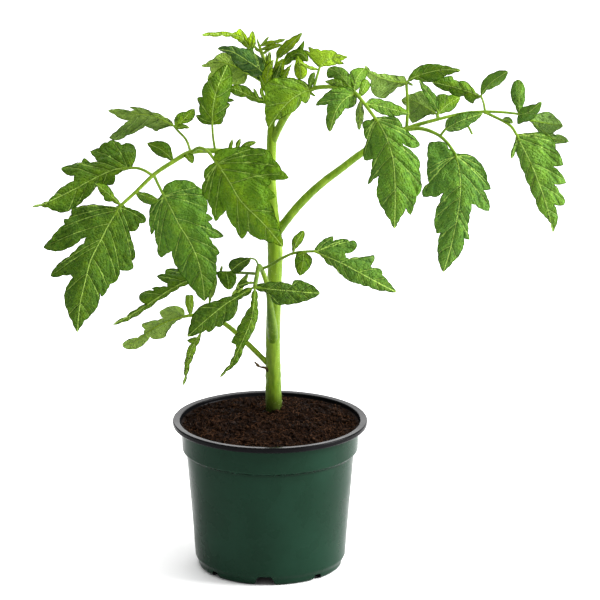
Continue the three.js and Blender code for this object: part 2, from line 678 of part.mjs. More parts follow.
// The leaf that comes forward on the right, with two young leaflets near its root.
const LEAF_FORWARD = {
  shoots: [
    {
      route: [
        [1.5, 279, 20], [5, 287, 18.5], [10.5, 297, 16.5], [17, 306, 14], [24, 312.3, 12],
        [30, 315.3, 10], [45, 316, 5], [55, 313.5, 0], [62, 306, -5], [71, 294, -9.5],
      ],
      radii: [2.6, 2.5, 1.6, 1.4, 1.1],
    },
    { route: [[29, 315, 10], [31, 322, 12], [33.3, 329.5, 14]], radii: [1, 0.8] },
  ],
  leaflets: [
    {
      rib: [[57, 312, -1], [50, 308, -5], [44, 300, -8], [39.8, 286, -9]],
      one: [
        [54, 316], [48, 315.5], [44, 315], [39, 313], [35, 309.5], [30.3, 303.5], [34, 303.8],
        [38.5, 304.5], [38, 298], [37.2, 292],
      ],
      two: [[58, 307], [56, 303], [50, 301.5], [48.5, 299.5], [46.5, 296.5], [44, 294], [42.3, 290]],
      lean: [0.25, 0.1],
      root: 1,
    },
    {
      rib: [[54, 315, 0], [46, 325, 6], [39, 328.7, 9]],
      one: [[53.5, 323], [51, 327], [46, 329.5], [41, 329.5]],
      two: [[49, 319], [47, 321], [42, 322.3], [38.5, 322], [37.8, 326]],
      lean: [0.3, -0.05],
    },
    {
      rib: [[52, 315.2, 1], [44, 319, 1], [36.5, 319.5, 2]],
      one: [[49, 319.5], [46, 321.3], [40, 321]],
      two: [[48, 316], [44, 316.3], [40, 317.6]],
      lean: [0.05, 0.1],
      root: 0.8,
    },
    {
      rib: [[56, 313, 0], [58, 322, 6], [63, 328.5, 12]],
      one: [[53.5, 320], [53.5, 326.5], [57, 328.3], [60, 329]],
      two: [[60, 316], [62, 319], [64.5, 324], [65, 327.5]],
      lean: [0.2, 0.3],
    },
    {
      rib: [[59.5, 309.5, -3], [63, 316, -1], [65, 321, 2]],
      one: [[60, 316.5], [62, 321]],
      two: [[64.5, 312.5], [67, 317.5]],
      lean: [0.1, 0.1],
      root: 0.8,
    },
    {
      rib: [[64, 304.5, -6], [70, 304, -3], [80, 301.5, 1], [93, 298, 4]],
      one: [[67, 308.3], [70, 308.5], [76, 307], [84, 304.3], [88, 302.5]],
      two: [[69, 301], [72, 299], [77, 297.3], [84, 296.6], [88, 297.4]],
      lean: [0.3, 0.1],
    },
    {
      // The leaflet at the end
      rib: [
        [70, 295.5, -9], [75, 288, -12], [79, 279, -14], [82.5, 265, -16], [83.5, 245, -17],
        [83, 221.5, -16],
      ],
      one: [
        [67, 294], [63, 293.5], [61.5, 291.5], [62.5, 288], [63, 283], [65, 280.3], [64, 278],
        [62.5, 274], [63, 267], [68.5, 268], [68, 262], [67, 257], [65.2, 250.8], [69, 254.5],
        [72.5, 256.8], [72, 251], [71, 246], [72, 241.5], [76, 234], [80, 227.5],
      ],
      two: [
        [73.5, 296], [78, 296.3], [84, 296], [87, 293], [88.5, 288.5], [94, 284.5], [98, 281],
        [100, 277], [97, 275.3], [92, 276], [88, 279], [86, 281.5], [89, 277], [96, 271.5],
        [99, 268], [100, 266], [99.5, 261], [100.5, 254], [101, 247.5], [97.8, 243],
        [96, 237], [93.5, 230.5], [90.5, 235], [87, 229], [85, 225],
      ],
      lean: [0.2, 0.2],
      root: 1.1,
    },
    {
      rib: [[60.5, 307.5, -4], [60, 300, -2], [59.7, 293, -1], [59.3, 287, 0]],
      one: [[58, 303], [57, 297], [58, 291]],
      two: [[62, 303], [62.5, 297], [61, 291]],
      under: true,
      root: 0.7,
    },
    {
      // The young bright one in front of the stem
      rib: [[27, 314.3, 11], [22, 312.5, 7], [14, 307.5, 5], [6, 299, 4], [-1, 288.8, 4.5]],
      one: [
        [24, 319], [18, 321.3], [12, 322.3], [5, 322], [-1, 320], [-4, 316.5], [-3.5, 311],
        [-3.2, 304], [-3, 297], [-2.3, 291.5],
      ],
      two: [
        [28, 312.5], [30.5, 309.5], [27, 311], [25.8, 307], [24, 304.8], [21, 306.8],
        [20, 303.8], [18, 301.5], [15, 299], [11, 297.7], [8, 295.5], [4, 294], [1.5, 290.5],
      ],
      lean: [0.12, 0.1],
      root: 1,
    },
    {
      // A fan of lobes on a thin stalk
      rib: [[33, 329, 14], [38, 334, 15], [45, 336, 16], [52, 336, 16]],
      one: [
        [30.5, 331], [28, 334], [25, 337.5], [23, 340.7], [26.5, 339.5], [25.5, 343],
        [29, 341.5], [31.5, 341.7], [34, 340.2], [39, 340.7], [43, 340], [45, 338], [49, 337],
      ],
      two: [[36, 330], [41, 330.3], [44.5, 331.2], [49.5, 331.5], [47, 333.3], [50, 334.8]],
      lean: [0.25, 0.1],
      root: 0.8,
    },
    {
      rib: [[32.5, 327.5, 13.5], [27, 328.5, 13], [20, 332.5, 12]],
      one: [[30, 329], [26.5, 330]],
      two: [[30, 327], [25.5, 328]],
      root: 0.7,
    },
    {
      rib: [[26, 313.5, 11], [27.5, 320, 9], [30, 325.7, 9]],
      one: [[25.3, 318], [26, 323], [28, 325.5]],
      two: [[28.3, 317], [29.8, 322]],
      root: 0.7,
    },
  ],
};

// The leaf that comes forward low down. Its petiole runs up the front of the stem, then bends
// over, and its side shoots go both ways.
const LEAF_FRONT = {
  shoots: [
    {
      route: [
        [2, 146, 19.2], [1.9, 151, 18.2], [1.4, 157, 17.3], [0.8, 163, 16.6], [0.1, 170.5, 15.8],
        [-0.9, 178.5, 14.8], [-2.2, 185, 13.3], [-4.2, 191, 10.6], [-6.2, 195.5, 6.9],
        [-7.5, 196.5, 3.9], [-8.8, 190, 0], [-10, 183, -3],
      ],
      radii: [3.2, 3.5, 3.4, 2.9, 2.2, 1.9, 1.8, 1.7, 1.6, 1.6, 1.5, 1.5],
    },
    {
      route: [[-8.6, 191.5, 1], [-16, 192, 8], [-24, 192.3, 13], [-36, 192, 16], [-50, 188.5, 18]],
      radii: [1.1, 0.9],
    },
    {
      route: [
        [-5, 195, 7], [1, 197.5, 7], [6, 200.7, 6], [15, 205, 5], [24, 206.3, 3], [30.5, 206.5, 2],
      ],
      radii: [1, 0.9],
    },
    { route: [[-7.5, 196, 4], [-9.7, 200.8, 3], [-13.5, 202, 3]], radii: [0.7, 0.6] },
  ],
  leaflets: [
    {
      stalk: [[-10, 183, -3]],
      rib: [
        [-12, 181.8, -3.2], [-22, 176, -4], [-30, 171, -5], [-40, 163, -6], [-48, 156, -6],
        [-55, 149.5, -5],
      ],
      one: [
        [-15, 182.4], [-20, 179], [-26, 176.5], [-35, 173.5], [-40, 172], [-45, 170.5], [-49, 167],
        [-52, 162.5], [-53, 158], [-54.7, 152.5],
      ],
      two: [
        [-12.6, 179], [-17.5, 176], [-21.5, 173.8], [-21.5, 169], [-23, 164.5], [-26, 161],
        [-30, 159.5], [-33, 156],
        [-36, 156.5], [-41, 152.5], [-42.7, 153.9], [-48, 151.5],
      ],
      lean: [0.3, 0.2],
    },
    {
      stalk: [[-10, 183, -3]],
      rib: [
        [-10.2, 181, -4], [-12, 163, -9], [-16, 152, -9], [-21, 141, -8], [-26, 131, -6],
        [-33.5, 122, -3],
      ],
      one: [
        [-12.1, 179], [-12.2, 174], [-13, 169.5], [-17, 163.5], [-20, 158], [-22, 155.5],
        [-21.5, 152], [-26, 146], [-23, 144.5], [-22.5, 142.5], [-24, 137], [-27, 130.5],
        [-31, 126.2],
      ],
      two: [
        [-8.3, 179], [-8.4, 174], [-8.3, 169], [-8, 163], [-9.5, 158], [-12, 151.5], [-16, 146],
        [-18, 141], [-20, 135], [-24, 130], [-29, 126.2],
      ],
      lean: [0.2, 0.3],
    },
    {
      rib: [[-10, 182.5, -3.5], [2, 181, -5], [15, 180, -5], [25, 179, -4], [33.3, 178.5, -3]],
      one: [
        [-8.4, 184.5], [-4, 185.2], [4, 185.7], [10, 185.5], [14.5, 184], [16, 187], [20, 187.3],
        [23, 186], [27, 184.5], [31, 181.5],
      ],
      two: [
        [-8.4, 180.3], [-4, 179.5], [0.3, 178], [2, 172.5], [5, 171], [10, 171], [16, 171.5],
        [22, 173], [28, 175], [32, 177],
      ],
      lean: [0.35, 0.1],
      root: 1,
    },
    {
      // The dark one at the end of the left side shoot
      rib: [
        [-49, 188.5, 18], [-57, 186, 18], [-68, 180, 19], [-80, 172, 19], [-92, 164.5, 18],
        [-105, 157.5, 16],
      ],
      one: [
        [-56, 193.5], [-62, 195], [-69.5, 194.5], [-70, 191.5], [-75.5, 190], [-73, 187.5],
        [-68.5, 185], [-68.5, 183], [-73, 182.7], [-79, 182], [-77.5, 180.5], [-84, 179.5],
        [-87, 177.5], [-87, 174], [-83.5, 171.5], [-89, 168], [-96, 163],
      ],
      two: [[-53, 186], [-60, 182.5], [-66, 179], [-75, 173.5], [-84, 167], [-92, 162], [-99, 159]],
      lean: [0.5, 0.4],
    },
    {
      rib: [[-29, 192.2, 14], [-28, 187, 12], [-27.5, 180.8, 11]],
      one: [[-33, 193.6], [-35.6, 192.3], [-34, 188], [-31.5, 184], [-29.5, 181.8]],
      two: [[-25, 193.8], [-22.5, 190.5], [-22.5, 187], [-24, 183.5], [-26, 181.3]],
      lean: [0.15, 0.15],
      root: 0.7,
    },
    {
      rib: [[-13, 202, 3], [-20, 198.5, 4], [-26, 193.5, 6]],
      one: [[-17, 202.2], [-23, 201.8], [-26.5, 200], [-27.7, 197]],
      two: [[-13.3, 199.5], [-17, 195.5], [-20.5, 192.5], [-24, 191.7]],
      lean: [0.25, 0.1],
      root: 0.6,
    },
    {
      rib: [[-9.5, 185.5, -2], [-15, 185.3, -3], [-21, 183.5, -2]],
      one: [[-14.5, 186.3], [-17, 187.2], [-20.5, 186.6]],
      two: [[-14, 184.6], [-17, 183.3], [-19.5, 181.7]],
      root: 0.6,
    },
    {
      rib: [[-33, 192, 15.5], [-32.5, 194.5, 15], [-31.8, 197.2, 14.5]],
      one: [[-33.4, 194.8]],
      two: [[-31.5, 194.8]],
      root: 0.6,
    },
    {
      rib: [[-36.5, 192, 16], [-38, 181, 15.5], [-40.5, 171, 15]],
      one: [[-38.6, 187], [-40, 180], [-40.9, 174]],
      two: [[-35.4, 189], [-36, 182], [-39, 175]],
      lean: [0.3, 0.1],
      under: true,
      root: 0.7,
    },
    {
      rib: [[-14.5, 191.8, 7], [-20, 182, 7], [-26, 175, 7]],
      one: [[-18.2, 189], [-23, 181.5], [-25.6, 177.5]],
      two: [[-15, 188.5], [-17.5, 182.5], [-22.5, 176.5]],
      lean: [0.1, 0.2],
      under: true,
      root: 0.7,
    },
    {
      rib: [[15.3, 205.3, 5], [18, 213, 6.5], [22.5, 220.2, 8]],
      one: [[14.7, 209.5], [14.8, 214.5], [18, 218], [21, 220.3]],
      two: [[17, 208], [20, 211], [22.5, 215], [23.3, 218.5]],
      root: 0.8,
    },
    {
      rib: [[22.5, 206.5, 3], [22, 199, 1.5], [20, 190, 1.5]],
      one: [[18.5, 205.6], [17, 203], [16.5, 198.5], [17.5, 194], [19, 191]],
      two: [[25.5, 204.5], [28.2, 201.5], [27, 196.5], [24, 193], [21.5, 190.8]],
      lean: [0.15, 0.15],
      root: 0.8,
    },
    {
      // The lobed one at the end of the right side shoot
      rib: [
        [29.5, 206.5, 2], [40, 202, 0], [50, 197.5, -1], [60, 192, -1], [72, 185.5, 1],
        [84.3, 179.2, 4],
      ],
      one: [
        [31, 210], [34, 213], [38, 215.5], [42, 216.5], [42, 213.5], [45, 214.3], [52, 214.5],
        [53, 213.3], [56, 213.8], [58, 211.5], [57, 208], [54, 205.5], [50, 205], [50.5, 202.5],
        [53, 201.5], [55, 202.5], [61, 202], [66, 203], [69.5, 204.2], [70, 202], [68.5, 199],
        [67, 196.5], [68, 195.3], [73, 195], [74.5, 193], [75, 190.5], [79, 186], [82, 182.5],
      ],
      two: [
        [33, 204.5], [36, 201.5], [38, 198], [42, 196.7], [44, 194.5], [48, 190.5], [52, 187],
        [57, 185.3], [60, 184.7], [66, 183], [71, 180.8], [77, 180],
      ],
      lean: [0.4, 0.1],
    },
  ],
};

// The lowest leaf, behind the front one.
const LEAF_LOW = {
  shoots: [
    {
      route: [
        [1.5, 129, 20], [-4, 134.2, 20], [-15, 145, 21], [-30, 158, 23], [-42, 163.3, 24],
        [-52, 163.8, 24], [-58, 162.8, 24],
      ],
      radii: [1.9, 1.8, 1.4, 1],
    },
    { route: [[-42, 163.3, 24], [-44, 157, 25], [-46.5, 151.5, 25]], radii: [0.8, 0.7] },
  ],
  leaflets: [
    {
      rib: [
        [-57, 163, 24], [-66, 160.5, 26], [-76, 156, 28], [-84, 150, 29], [-91, 145.5, 29],
        [-98.5, 144, 28],
      ],
      one: [
        [-57, 167], [-60, 169.5], [-66, 170], [-71, 168], [-74, 166], [-73, 163.5],
        [-71.5, 162], [-75, 160.5], [-81, 159.5], [-85.5, 157.7], [-83.5, 154.5], [-84, 151.5],
        [-88, 149], [-92, 148.5], [-96, 147],
      ],
      two: [
        [-62, 160], [-65, 157.5], [-69, 152.5], [-69.5, 149.5], [-74, 148], [-79, 148.3],
        [-80, 149.6], [-83, 145.5], [-87, 142.3], [-92, 141], [-97, 142],
      ],
      lean: [0.5, 0.1],
      under: true,
    },
    {
      rib: [[-46, 152, 25], [-50, 146, 25], [-53.5, 138, 24], [-55.5, 128, 23], [-57.9, 116.5, 22]],
      one: [
        [-48.5, 149], [-52, 148.8], [-55.3, 146.8], [-52.5, 145], [-55, 141.5], [-56, 136],
        [-57, 130], [-57.3, 127.5], [-56.7, 123],
      ],
      two: [[-46, 149.5], [-49, 143], [-51, 137], [-53.5, 131], [-55.2, 124]],
      lean: [0.1, 0.3],
      root: 0.7,
    },
    {
      rib: [[-53, 163.5, 24], [-53.5, 170, 25], [-53.5, 177.4, 26]],
      one: [[-55.5, 168.5], [-56.5, 175], [-56, 177.3]],
      two: [[-51.3, 168], [-51, 174], [-51.5, 177.5]],
      root: 0.7,
    },
  ],
};

// The growing tip with its youngest leaves.
const SHOOT_TIP = {
  shoots: [
    {
      route: [[0.1, 303.35, 20], [-1, 318, 20], [-3, 331, 21], [-6, 340, 22], [-8, 346.3, 22]],
      radii: [1.9, 1.7, 1.5, 1.2, 0.6],
    },
    { route: [[-1, 317, 20], [-6, 320, 22], [-10, 322.5, 23.5], [-15, 325, 24.5]], radii: [1, 0.8] },
    { route: [[-3, 331, 21], [-9, 336.5, 24], [-13.5, 340.5, 25]], radii: [1, 0.8] },
    { route: [[-1, 319, 20], [3, 328, 21], [5, 335.5, 21]], radii: [1, 0.9] },
    { route: [[-0.5, 314, 20], [5, 324, 23], [9, 331.3, 25]], radii: [1, 0.8] },
  ],
  leaflets: [
    {
      // The dark one that curls over to the left
      rib: [[-2.5, 323.5, 21], [-9, 329.5, 18.5], [-16, 334, 17], [-25, 339.5, 17], [-35, 341.3, 19]],
      one: [
        [-3, 331], [-6, 335.5], [-11, 338], [-11.5, 342], [-14, 340.7], [-20, 342], [-28, 343.3],
        [-33, 343],
      ],
      two: [
        [-4, 321], [-6.5, 320.4], [-9, 322.5], [-14.3, 325.3], [-20, 328], [-24, 332], [-26, 336.5],
        [-29.5, 339],
      ],
      lean: [0.2, 0.25],
      root: 0.9,
    },
    {
      rib: [[-15, 325, 24.5], [-24, 330, 23], [-34, 333, 21], [-46, 330, 19]],
      one: [[-19, 329.5], [-24, 334], [-29, 339], [-33, 338.7], [-38, 334.7], [-43, 331.7]],
      two: [
        [-17, 318], [-25, 317.5], [-32, 321], [-38, 321.5], [-41.5, 320], [-41.5, 322.5],
        [-39.5, 326], [-40, 329.3],
      ],
      lean: [0.1, 0.1],
      under: true,
    },
    {
      rib: [[-0.3, 305.5, 19.5], [-12, 309.5, 17], [-20, 313.3, 15], [-27.5, 316, 14]],
      one: [[-8, 309.8], [-12, 313], [-15, 316], [-20, 317.2], [-25, 317]],
      two: [[-6, 305.2], [-9.5, 306], [-14, 307.5], [-16, 309.2], [-21, 309.6], [-25.5, 312]],
      lean: [0.1, 0.1],
      root: 0.8,
    },
    {
      rib: [[-7, 307, 18], [-9.5, 311, 16], [-11, 315.5, 15]],
      one: [[-9.8, 310]],
      two: [[-8.5, 312]],
      root: 0.6,
    },
    {
      rib: [[-3, 306, 18.6], [-5.5, 311, 17], [-6, 315.7, 16]],
      one: [[-5.8, 309.5], [-6.9, 314]],
      two: [[-4, 311.5]],
      root: 0.6,
    },
    {
      // The bright one at the very top, with a long thin point
      rib: [[-13.5, 340, 25], [-16, 346, 24], [-21, 350, 22], [-32, 351.3, 19], [-46, 350.5, 16]],
      one: [
        [-10, 343], [-9.8, 350], [-11, 353], [-14, 349.3], [-15, 348.8], [-17, 352], [-20, 354.8],
        [-22.5, 353], [-25, 352], [-36, 352.4],
      ],
      two: [[-15.5, 342], [-19, 345], [-22, 347.5], [-26, 349.6], [-32, 350.2], [-40, 349.9]],
      lean: [0.1, 0.1],
      root: 0.8,
    },
    {
      rib: [[-6.8, 342.5, 22], [-4, 345.5, 21], [-0.5, 349.8, 20]],
      one: [[-4.6, 346.2]],
      two: [[-3.4, 345]],
      root: 0.6,
    },
    {
      rib: [[-7, 343.5, 22], [1, 345.3, 20], [10.7, 347.8, 17]],
      one: [[-3, 346], [3, 347]],
      two: [[-3, 343.3], [4, 345]],
      root: 0.6,
    },
    {
      rib: [[-6.5, 341, 22], [0, 342.5, 20], [8, 344.5, 18.5]],
      one: [[-2, 343.4], [3, 344.6]],
      two: [[-1, 341], [3.5, 341.8], [7, 343.3]],
      root: 0.6,
    },
    {
      rib: [[4.5, 334.5, 21], [11, 342, 18], [21.5, 352, 15]],
      one: [[4, 339], [8, 344], [13, 348], [18, 350.7]],
      two: [[9, 337], [13, 340], [17, 344.5], [20.3, 349]],
      lean: [0.15, 0.15],
      root: 0.8,
    },
    {
      rib: [[8.5, 330.5, 25], [14, 336.5, 24], [20, 338.5, 23], [25.7, 333, 22]],
      one: [[9.5, 335.5], [13.5, 339.7], [19.5, 341.3], [22.5, 347], [22.3, 341], [24.5, 338.5]],
      two: [[12, 331], [15, 333.5], [19, 334.5], [23, 333]],
      lean: [0.15, 0.1],
      root: 0.8,
    },
    {
      rib: [[18.5, 336.5, 23], [20, 328, 21], [21, 321, 20]],
      one: [[16.7, 332], [16.2, 326], [18, 321.7]],
      two: [[22.5, 332.5], [24.7, 328], [24.3, 323.5]],
      lean: [0.15, 0.15],
      root: 0.7,
    },
    {
      stalk: [[-0.9, 315.5, 20]],
      rib: [[0.8, 317.5, 19], [5, 327, 15], [9, 335, 14]],
      one: [[0.8, 322], [2.2, 329], [6, 333.5]],
      two: [[5, 320], [8.5, 326], [9.8, 331.5]],
      lean: [0.1, 0.1],
      root: 0.8,
    },
    {
      rib: [[-1.2, 318, 19.5], [-0.8, 328, 16.5], [-0.5, 339.7, 16]],
      one: [[-3.3, 323], [-3.3, 329], [-1.6, 335]],
      two: [[0.7, 321], [1.3, 329], [0.5, 335]],
      lean: [0.1, 0.1],
      root: 0.8,
    },
  ],
};

// Pot and soil

function lathe(profile, sides) {
  const outline = profile.map(([r, z]) => new THREE.Vector2(r, z));
  return solidOf(new THREE.LatheGeometry(outline, sides).rotateX(Math.PI / 2));
}

// Outlines from the foot up to the lip, as pairs of radius and height.
const lipRadius = RIM_DIAMETER / 2;
const lipFoot = POT_HEIGHT - LIP_HEIGHT;
const shoulder = COLLAR_FOOT + COLLAR_STEP;

const potOutside = [
  [FOOT_RADIUS - 3.7, 0],
  [FOOT_RADIUS - 1.3, 0.5],
  [FOOT_RADIUS - 0.4, 1.9],
  [FOOT_RADIUS, FOOT_HEIGHT - 3],
  [BODY_FOOT_RADIUS, FOOT_HEIGHT],
  [BODY_TOP_RADIUS, COLLAR_FOOT],
  [COLLAR_RADIUS - 0.4, shoulder],
  [COLLAR_RADIUS, lipFoot],
  [lipRadius - 0.6, lipFoot + 0.6],
  [lipRadius, lipFoot + 1.4],
  [lipRadius, POT_HEIGHT - 1.2],
  [lipRadius - 1.1, POT_HEIGHT],
];

const potInside = [
  [FOOT_RADIUS - WALL - 0.9, FLOOR],
  [FOOT_RADIUS - WALL, FOOT_HEIGHT - 3],
  [BODY_FOOT_RADIUS - WALL, FOOT_HEIGHT],
  [BODY_TOP_RADIUS - WALL, COLLAR_FOOT + 0.8],
  [COLLAR_RADIUS - WALL - 0.4, shoulder + 0.8],
  [COLLAR_RADIUS - WALL, lipFoot - 0.6],
  [LIP_INNER_RADIUS - 0.2, lipFoot + WALL],
  [LIP_INNER_RADIUS, POT_HEIGHT - 0.7],
  [LIP_INNER_RADIUS + 0.6, POT_HEIGHT],
];

// A block that lies along a radius of the foot, as broad as a drain gap grown by some margin.
function gapBlock({ width, height }, grow, from, to) {
  const half = GAP_OUTLINE.map(([x, z]) => [x * width + grow, z * (height + grow)]);
  const mirrored = half.map(([x, z]) => [-x, z]).toReversed();
  const outline = [...half, ...mirrored].map(([x, z]) => new THREE.Vector2(x, z));
  const options = { depth: to - from, bevelEnabled: false };
  const block = new THREE.ExtrudeGeometry(new THREE.Shape(outline), options);
  return block.rotateX(Math.PI / 2).rotateZ(Math.PI / 2).translate(from, 0, 0);
}

// What is made for each drain gap, turned to its place round the foot.
function roundFoot(make) {
  const solids = [];
  for (let i = 0; i < GAPS; i += 1) {
    const gap = i % 2 ? NARROW_GAP : WIDE_GAP;
    const turn = THREE.MathUtils.degToRad(FIRST_GAP_DEG + (i * 360) / GAPS);
    solids.push(solidOf(make(gap).rotateZ(turn)));
  }
  return join(solids);
}

const beyondWall = BODY_FOOT_RADIUS + 6;
const pocketBack = (gap) => FOOT_RADIUS - WALL - gap.depth;

// The raised roofs and back walls of the drain pockets, as they stand up inside the pot.
const pocketBlocks = (grow) =>
  roundFoot((gap) => {
    const margin = WALL + grow;
    return gapBlock(gap, margin, pocketBack(gap) - margin, beyondWall).translate(0, 0, FLOOR / 2);
  });

function pot() {
  const shell = lathe([[0, 0], ...potOutside, ...potInside.toReversed(), [0, FLOOR]], POT_SIDES);
  const midWall = potOutside.map(([r, z]) => [r - WALL / 2, z]);
  const core = lathe([[0, 0], ...midWall, [0, POT_HEIGHT]], POT_SIDES);
  const pockets = roundFoot((gap) =>
    gapBlock(gap, 0, pocketBack(gap), beyondWall).translate(0, 0, -0.01),
  );
  const drains = roundFoot((gap) => {
    const slot = new THREE.CylinderGeometry(DRAIN_RADIUS, DRAIN_RADIUS, 3 * WALL, 8);
    slot.rotateX(Math.PI / 2);
    return slot.translate(FOOT_RADIUS - WALL - gap.depth / 2, 0, gap.height + WALL / 2);
  });
  return shell.add(pocketBlocks(0).intersect(core)).subtract(pockets).subtract(drains);
}

// The peat fills the pot, a clear gap inside its wall, and is mounded in the middle.
function soil() {
  const wall = potInside.slice(1, -2).map(([r, z]) => [r - SOIL_GAP, z]);
  const radius = LIP_INNER_RADIUS - 0.2 - SOIL_GAP;
  const low = FLOOR + CLEARANCE;
  const top = [];
  for (let i = 0; i <= CROWN_STEPS; i += 1) {
    const share = 1 - i / CROWN_STEPS;
    top.push([radius * share, SOIL_EDGE + SOIL_CROWN * (1 - share ** 2)]);
  }
  const profile = [[0, low], [FOOT_RADIUS - WALL - 0.9 - SOIL_GAP, low], ...wall, ...top];
  return lathe(profile, SOIL_SIDES).subtract(pocketBlocks(CLEARANCE));
}

// Assembly

const material = (color, roughness) =>
  new THREE.MeshStandardMaterial({ color, roughness, metalness: 0 });
const LEAF_GREEN = material(0x3f7a1c, 0.55);
const YOUNG_GREEN = material(0x7fa51e, 0.55);
const STEM_GREEN = material(0x8fb52c, 0.5);
const POT_GREEN = material(0x1d4a37, 0.4);
const SOIL_BROWN = material(0x2b1a12, 0.95);
const DRY_BROWN = material(0x3a2f1c, 0.9);

const group = new THREE.Group();

function place(name, solid, look) {
  const mesh = new THREE.Mesh(geometryOf(solid), look);
  mesh.name = name;
  group.add(mesh);
}

const stemSolid = (grow) =>
  shoot(STEM.route.map(seen), STEM.radii, STEM_SIDES, STEM_STEPS, grow);
const stemRoom = stemSolid(CLEARANCE);
const besideStem = (leaf) => withoutSlivers(frond(leaf).subtract(stemRoom));

place("pot", pot(), POT_GREEN);
place("soil", soil().subtract(stemRoom), SOIL_BROWN);
place("stem", stemSolid(0), STEM_GREEN);
place("dried_seed_leaf", besideStem(DRIED_STUB), DRY_BROWN);
place("leaf_low", besideStem(LEAF_LOW), LEAF_GREEN);
place("leaf_front", besideStem(LEAF_FRONT), LEAF_GREEN);
place("leaf_right", besideStem(LEAF_RIGHT), LEAF_GREEN);
place("leaf_left", besideStem(LEAF_LEFT), LEAF_GREEN);
place("leaf_forward", besideStem(LEAF_FORWARD), LEAF_GREEN);
place("shoot_tip", besideStem(SHOOT_TIP), YOUNG_GREEN);

export default group;
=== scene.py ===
import math
import random

import bpy
import numpy as np
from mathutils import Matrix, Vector, noise
from mathutils.geometry import delaunay_2d_cdt


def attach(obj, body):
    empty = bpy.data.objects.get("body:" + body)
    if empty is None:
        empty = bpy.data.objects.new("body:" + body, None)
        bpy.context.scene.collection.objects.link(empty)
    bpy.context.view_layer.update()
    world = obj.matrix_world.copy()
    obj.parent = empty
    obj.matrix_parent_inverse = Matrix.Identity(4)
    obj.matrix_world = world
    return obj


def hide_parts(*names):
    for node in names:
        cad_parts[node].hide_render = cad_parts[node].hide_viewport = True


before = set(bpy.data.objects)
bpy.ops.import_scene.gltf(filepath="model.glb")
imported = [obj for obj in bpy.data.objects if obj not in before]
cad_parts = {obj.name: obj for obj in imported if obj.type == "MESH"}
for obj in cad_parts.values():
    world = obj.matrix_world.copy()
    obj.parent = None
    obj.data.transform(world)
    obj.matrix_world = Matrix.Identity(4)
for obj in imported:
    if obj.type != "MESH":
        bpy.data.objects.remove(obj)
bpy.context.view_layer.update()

MM = 0.001

# The plant is laid out as it is seen from a standing point in front of it. A place in the layout is
# [x, v, y]: x across and v up as seen, and y the depth away from the viewer, all in millimetres.
EYE = np.array([20.0, -3000.0, 1050.0])
SIGHT = 3140  # the distance from the eye at which the layout has its true size
LOOK_DOWN = math.radians(16.11)
SIGHT_CENTRE = (20, 174)  # x and v in the middle of the view
STEM_DEPTH = 20
SPREAD = 1.8  # how many times deeper the plant is about its stem than the layout says


def seen(places):
    """True places in millimetres of points of the layout."""
    x, v, y = np.asarray(places, float).reshape(-1, 3).T
    up = (v - SIGHT_CENTRE[1]) / SIGHT
    right = (x - SIGHT_CENTRE[0]) / SIGHT
    sin, cos = math.sin(LOOK_DOWN), math.cos(LOOK_DOWN)
    ray = np.stack([right, cos + up * sin, up * cos - sin], 1)
    depth = STEM_DEPTH + SPREAD * (y - STEM_DEPTH)
    return EYE + ray * ((depth - EYE[1]) / ray[:, 1])[:, None]


class Leaf:
    """The layout of one leaf.

    Tints run from -1, the darkest green, over 0 and 1 to 2, the palest. The painted sheen is a bluish
    colour that paints light reflected off the leaf.
    """

    def __init__(self, name, tint, bloom=0.0):
        self.name, self.tint, self.bloom = name, tint, bloom
        self.shoots, self.leaflets = [], []

    def shoot(self, route, radii, tints=(0, 0)):
        """A petiole or side shoot, with its radii and added tints from its root to its end."""
        self.shoots.append((route, radii, tints))

    def leaflet(self, rib, one, two, **more):
        """A leaflet: its midrib and the edges on its two sides, from its root to its tip.

        It may also have a stalk, its own painted sheen and an added tint. lean is how much deeper each
        side gets away from the midrib, root the radius at the root, veins how fine its veins are, and
        under whether it turns its underside to the viewer.
        """
        usual = {"stalk": [], "lean": (0.15, 0.15), "root": 0.9, "tint": 0.0, "bloom": self.bloom}
        usual |= {"veins": 1.0, "under": False}
        self.leaflets.append({"rib": rib, "one": one, "two": two, **usual, **more})


# The plant's layout

STEM_ROUTE = [
    [2.6, 60, 22], [2.5, 101, 20.3], [2.2, 122, 20], [2, 150, 20], [3, 185, 20], [3.4, 205, 20],
    [1.7, 235, 20], [0.5, 258, 20], [1, 278, 20], [0.9, 292, 20], [0.2, 303, 20],
]
STEM_RADII = [4, 5.4, 5.3, 4.8, 4.9, 5.1, 3.8, 3.3, 3.3, 2.3, 1.9]
STUB_ROUTE = [[-1, 127, 18.5], [-3.5, 129, 17.5], [-6.5, 129.4, 17], [-10.5, 132.8, 16.5]]
STUB_RADII = [1, 0.8, 1, 0.6]

# The leaf that spreads to the left.
LEAF_LEFT = Leaf("leaf_left", tint=0.0)
LEAF_LEFT.shoot(
    [[0, 259, 20], [-5, 264, 17], [-16, 270.5, 13], [-37, 273.5, 10], [-53, 272.5, 8], [-65, 266, 6],
     [-77.5, 257.5, 4], [-89.5, 246, 2], [-99.5, 237, 0]],
    [2.3, 2, 1.7, 1.4, 1.1],
)
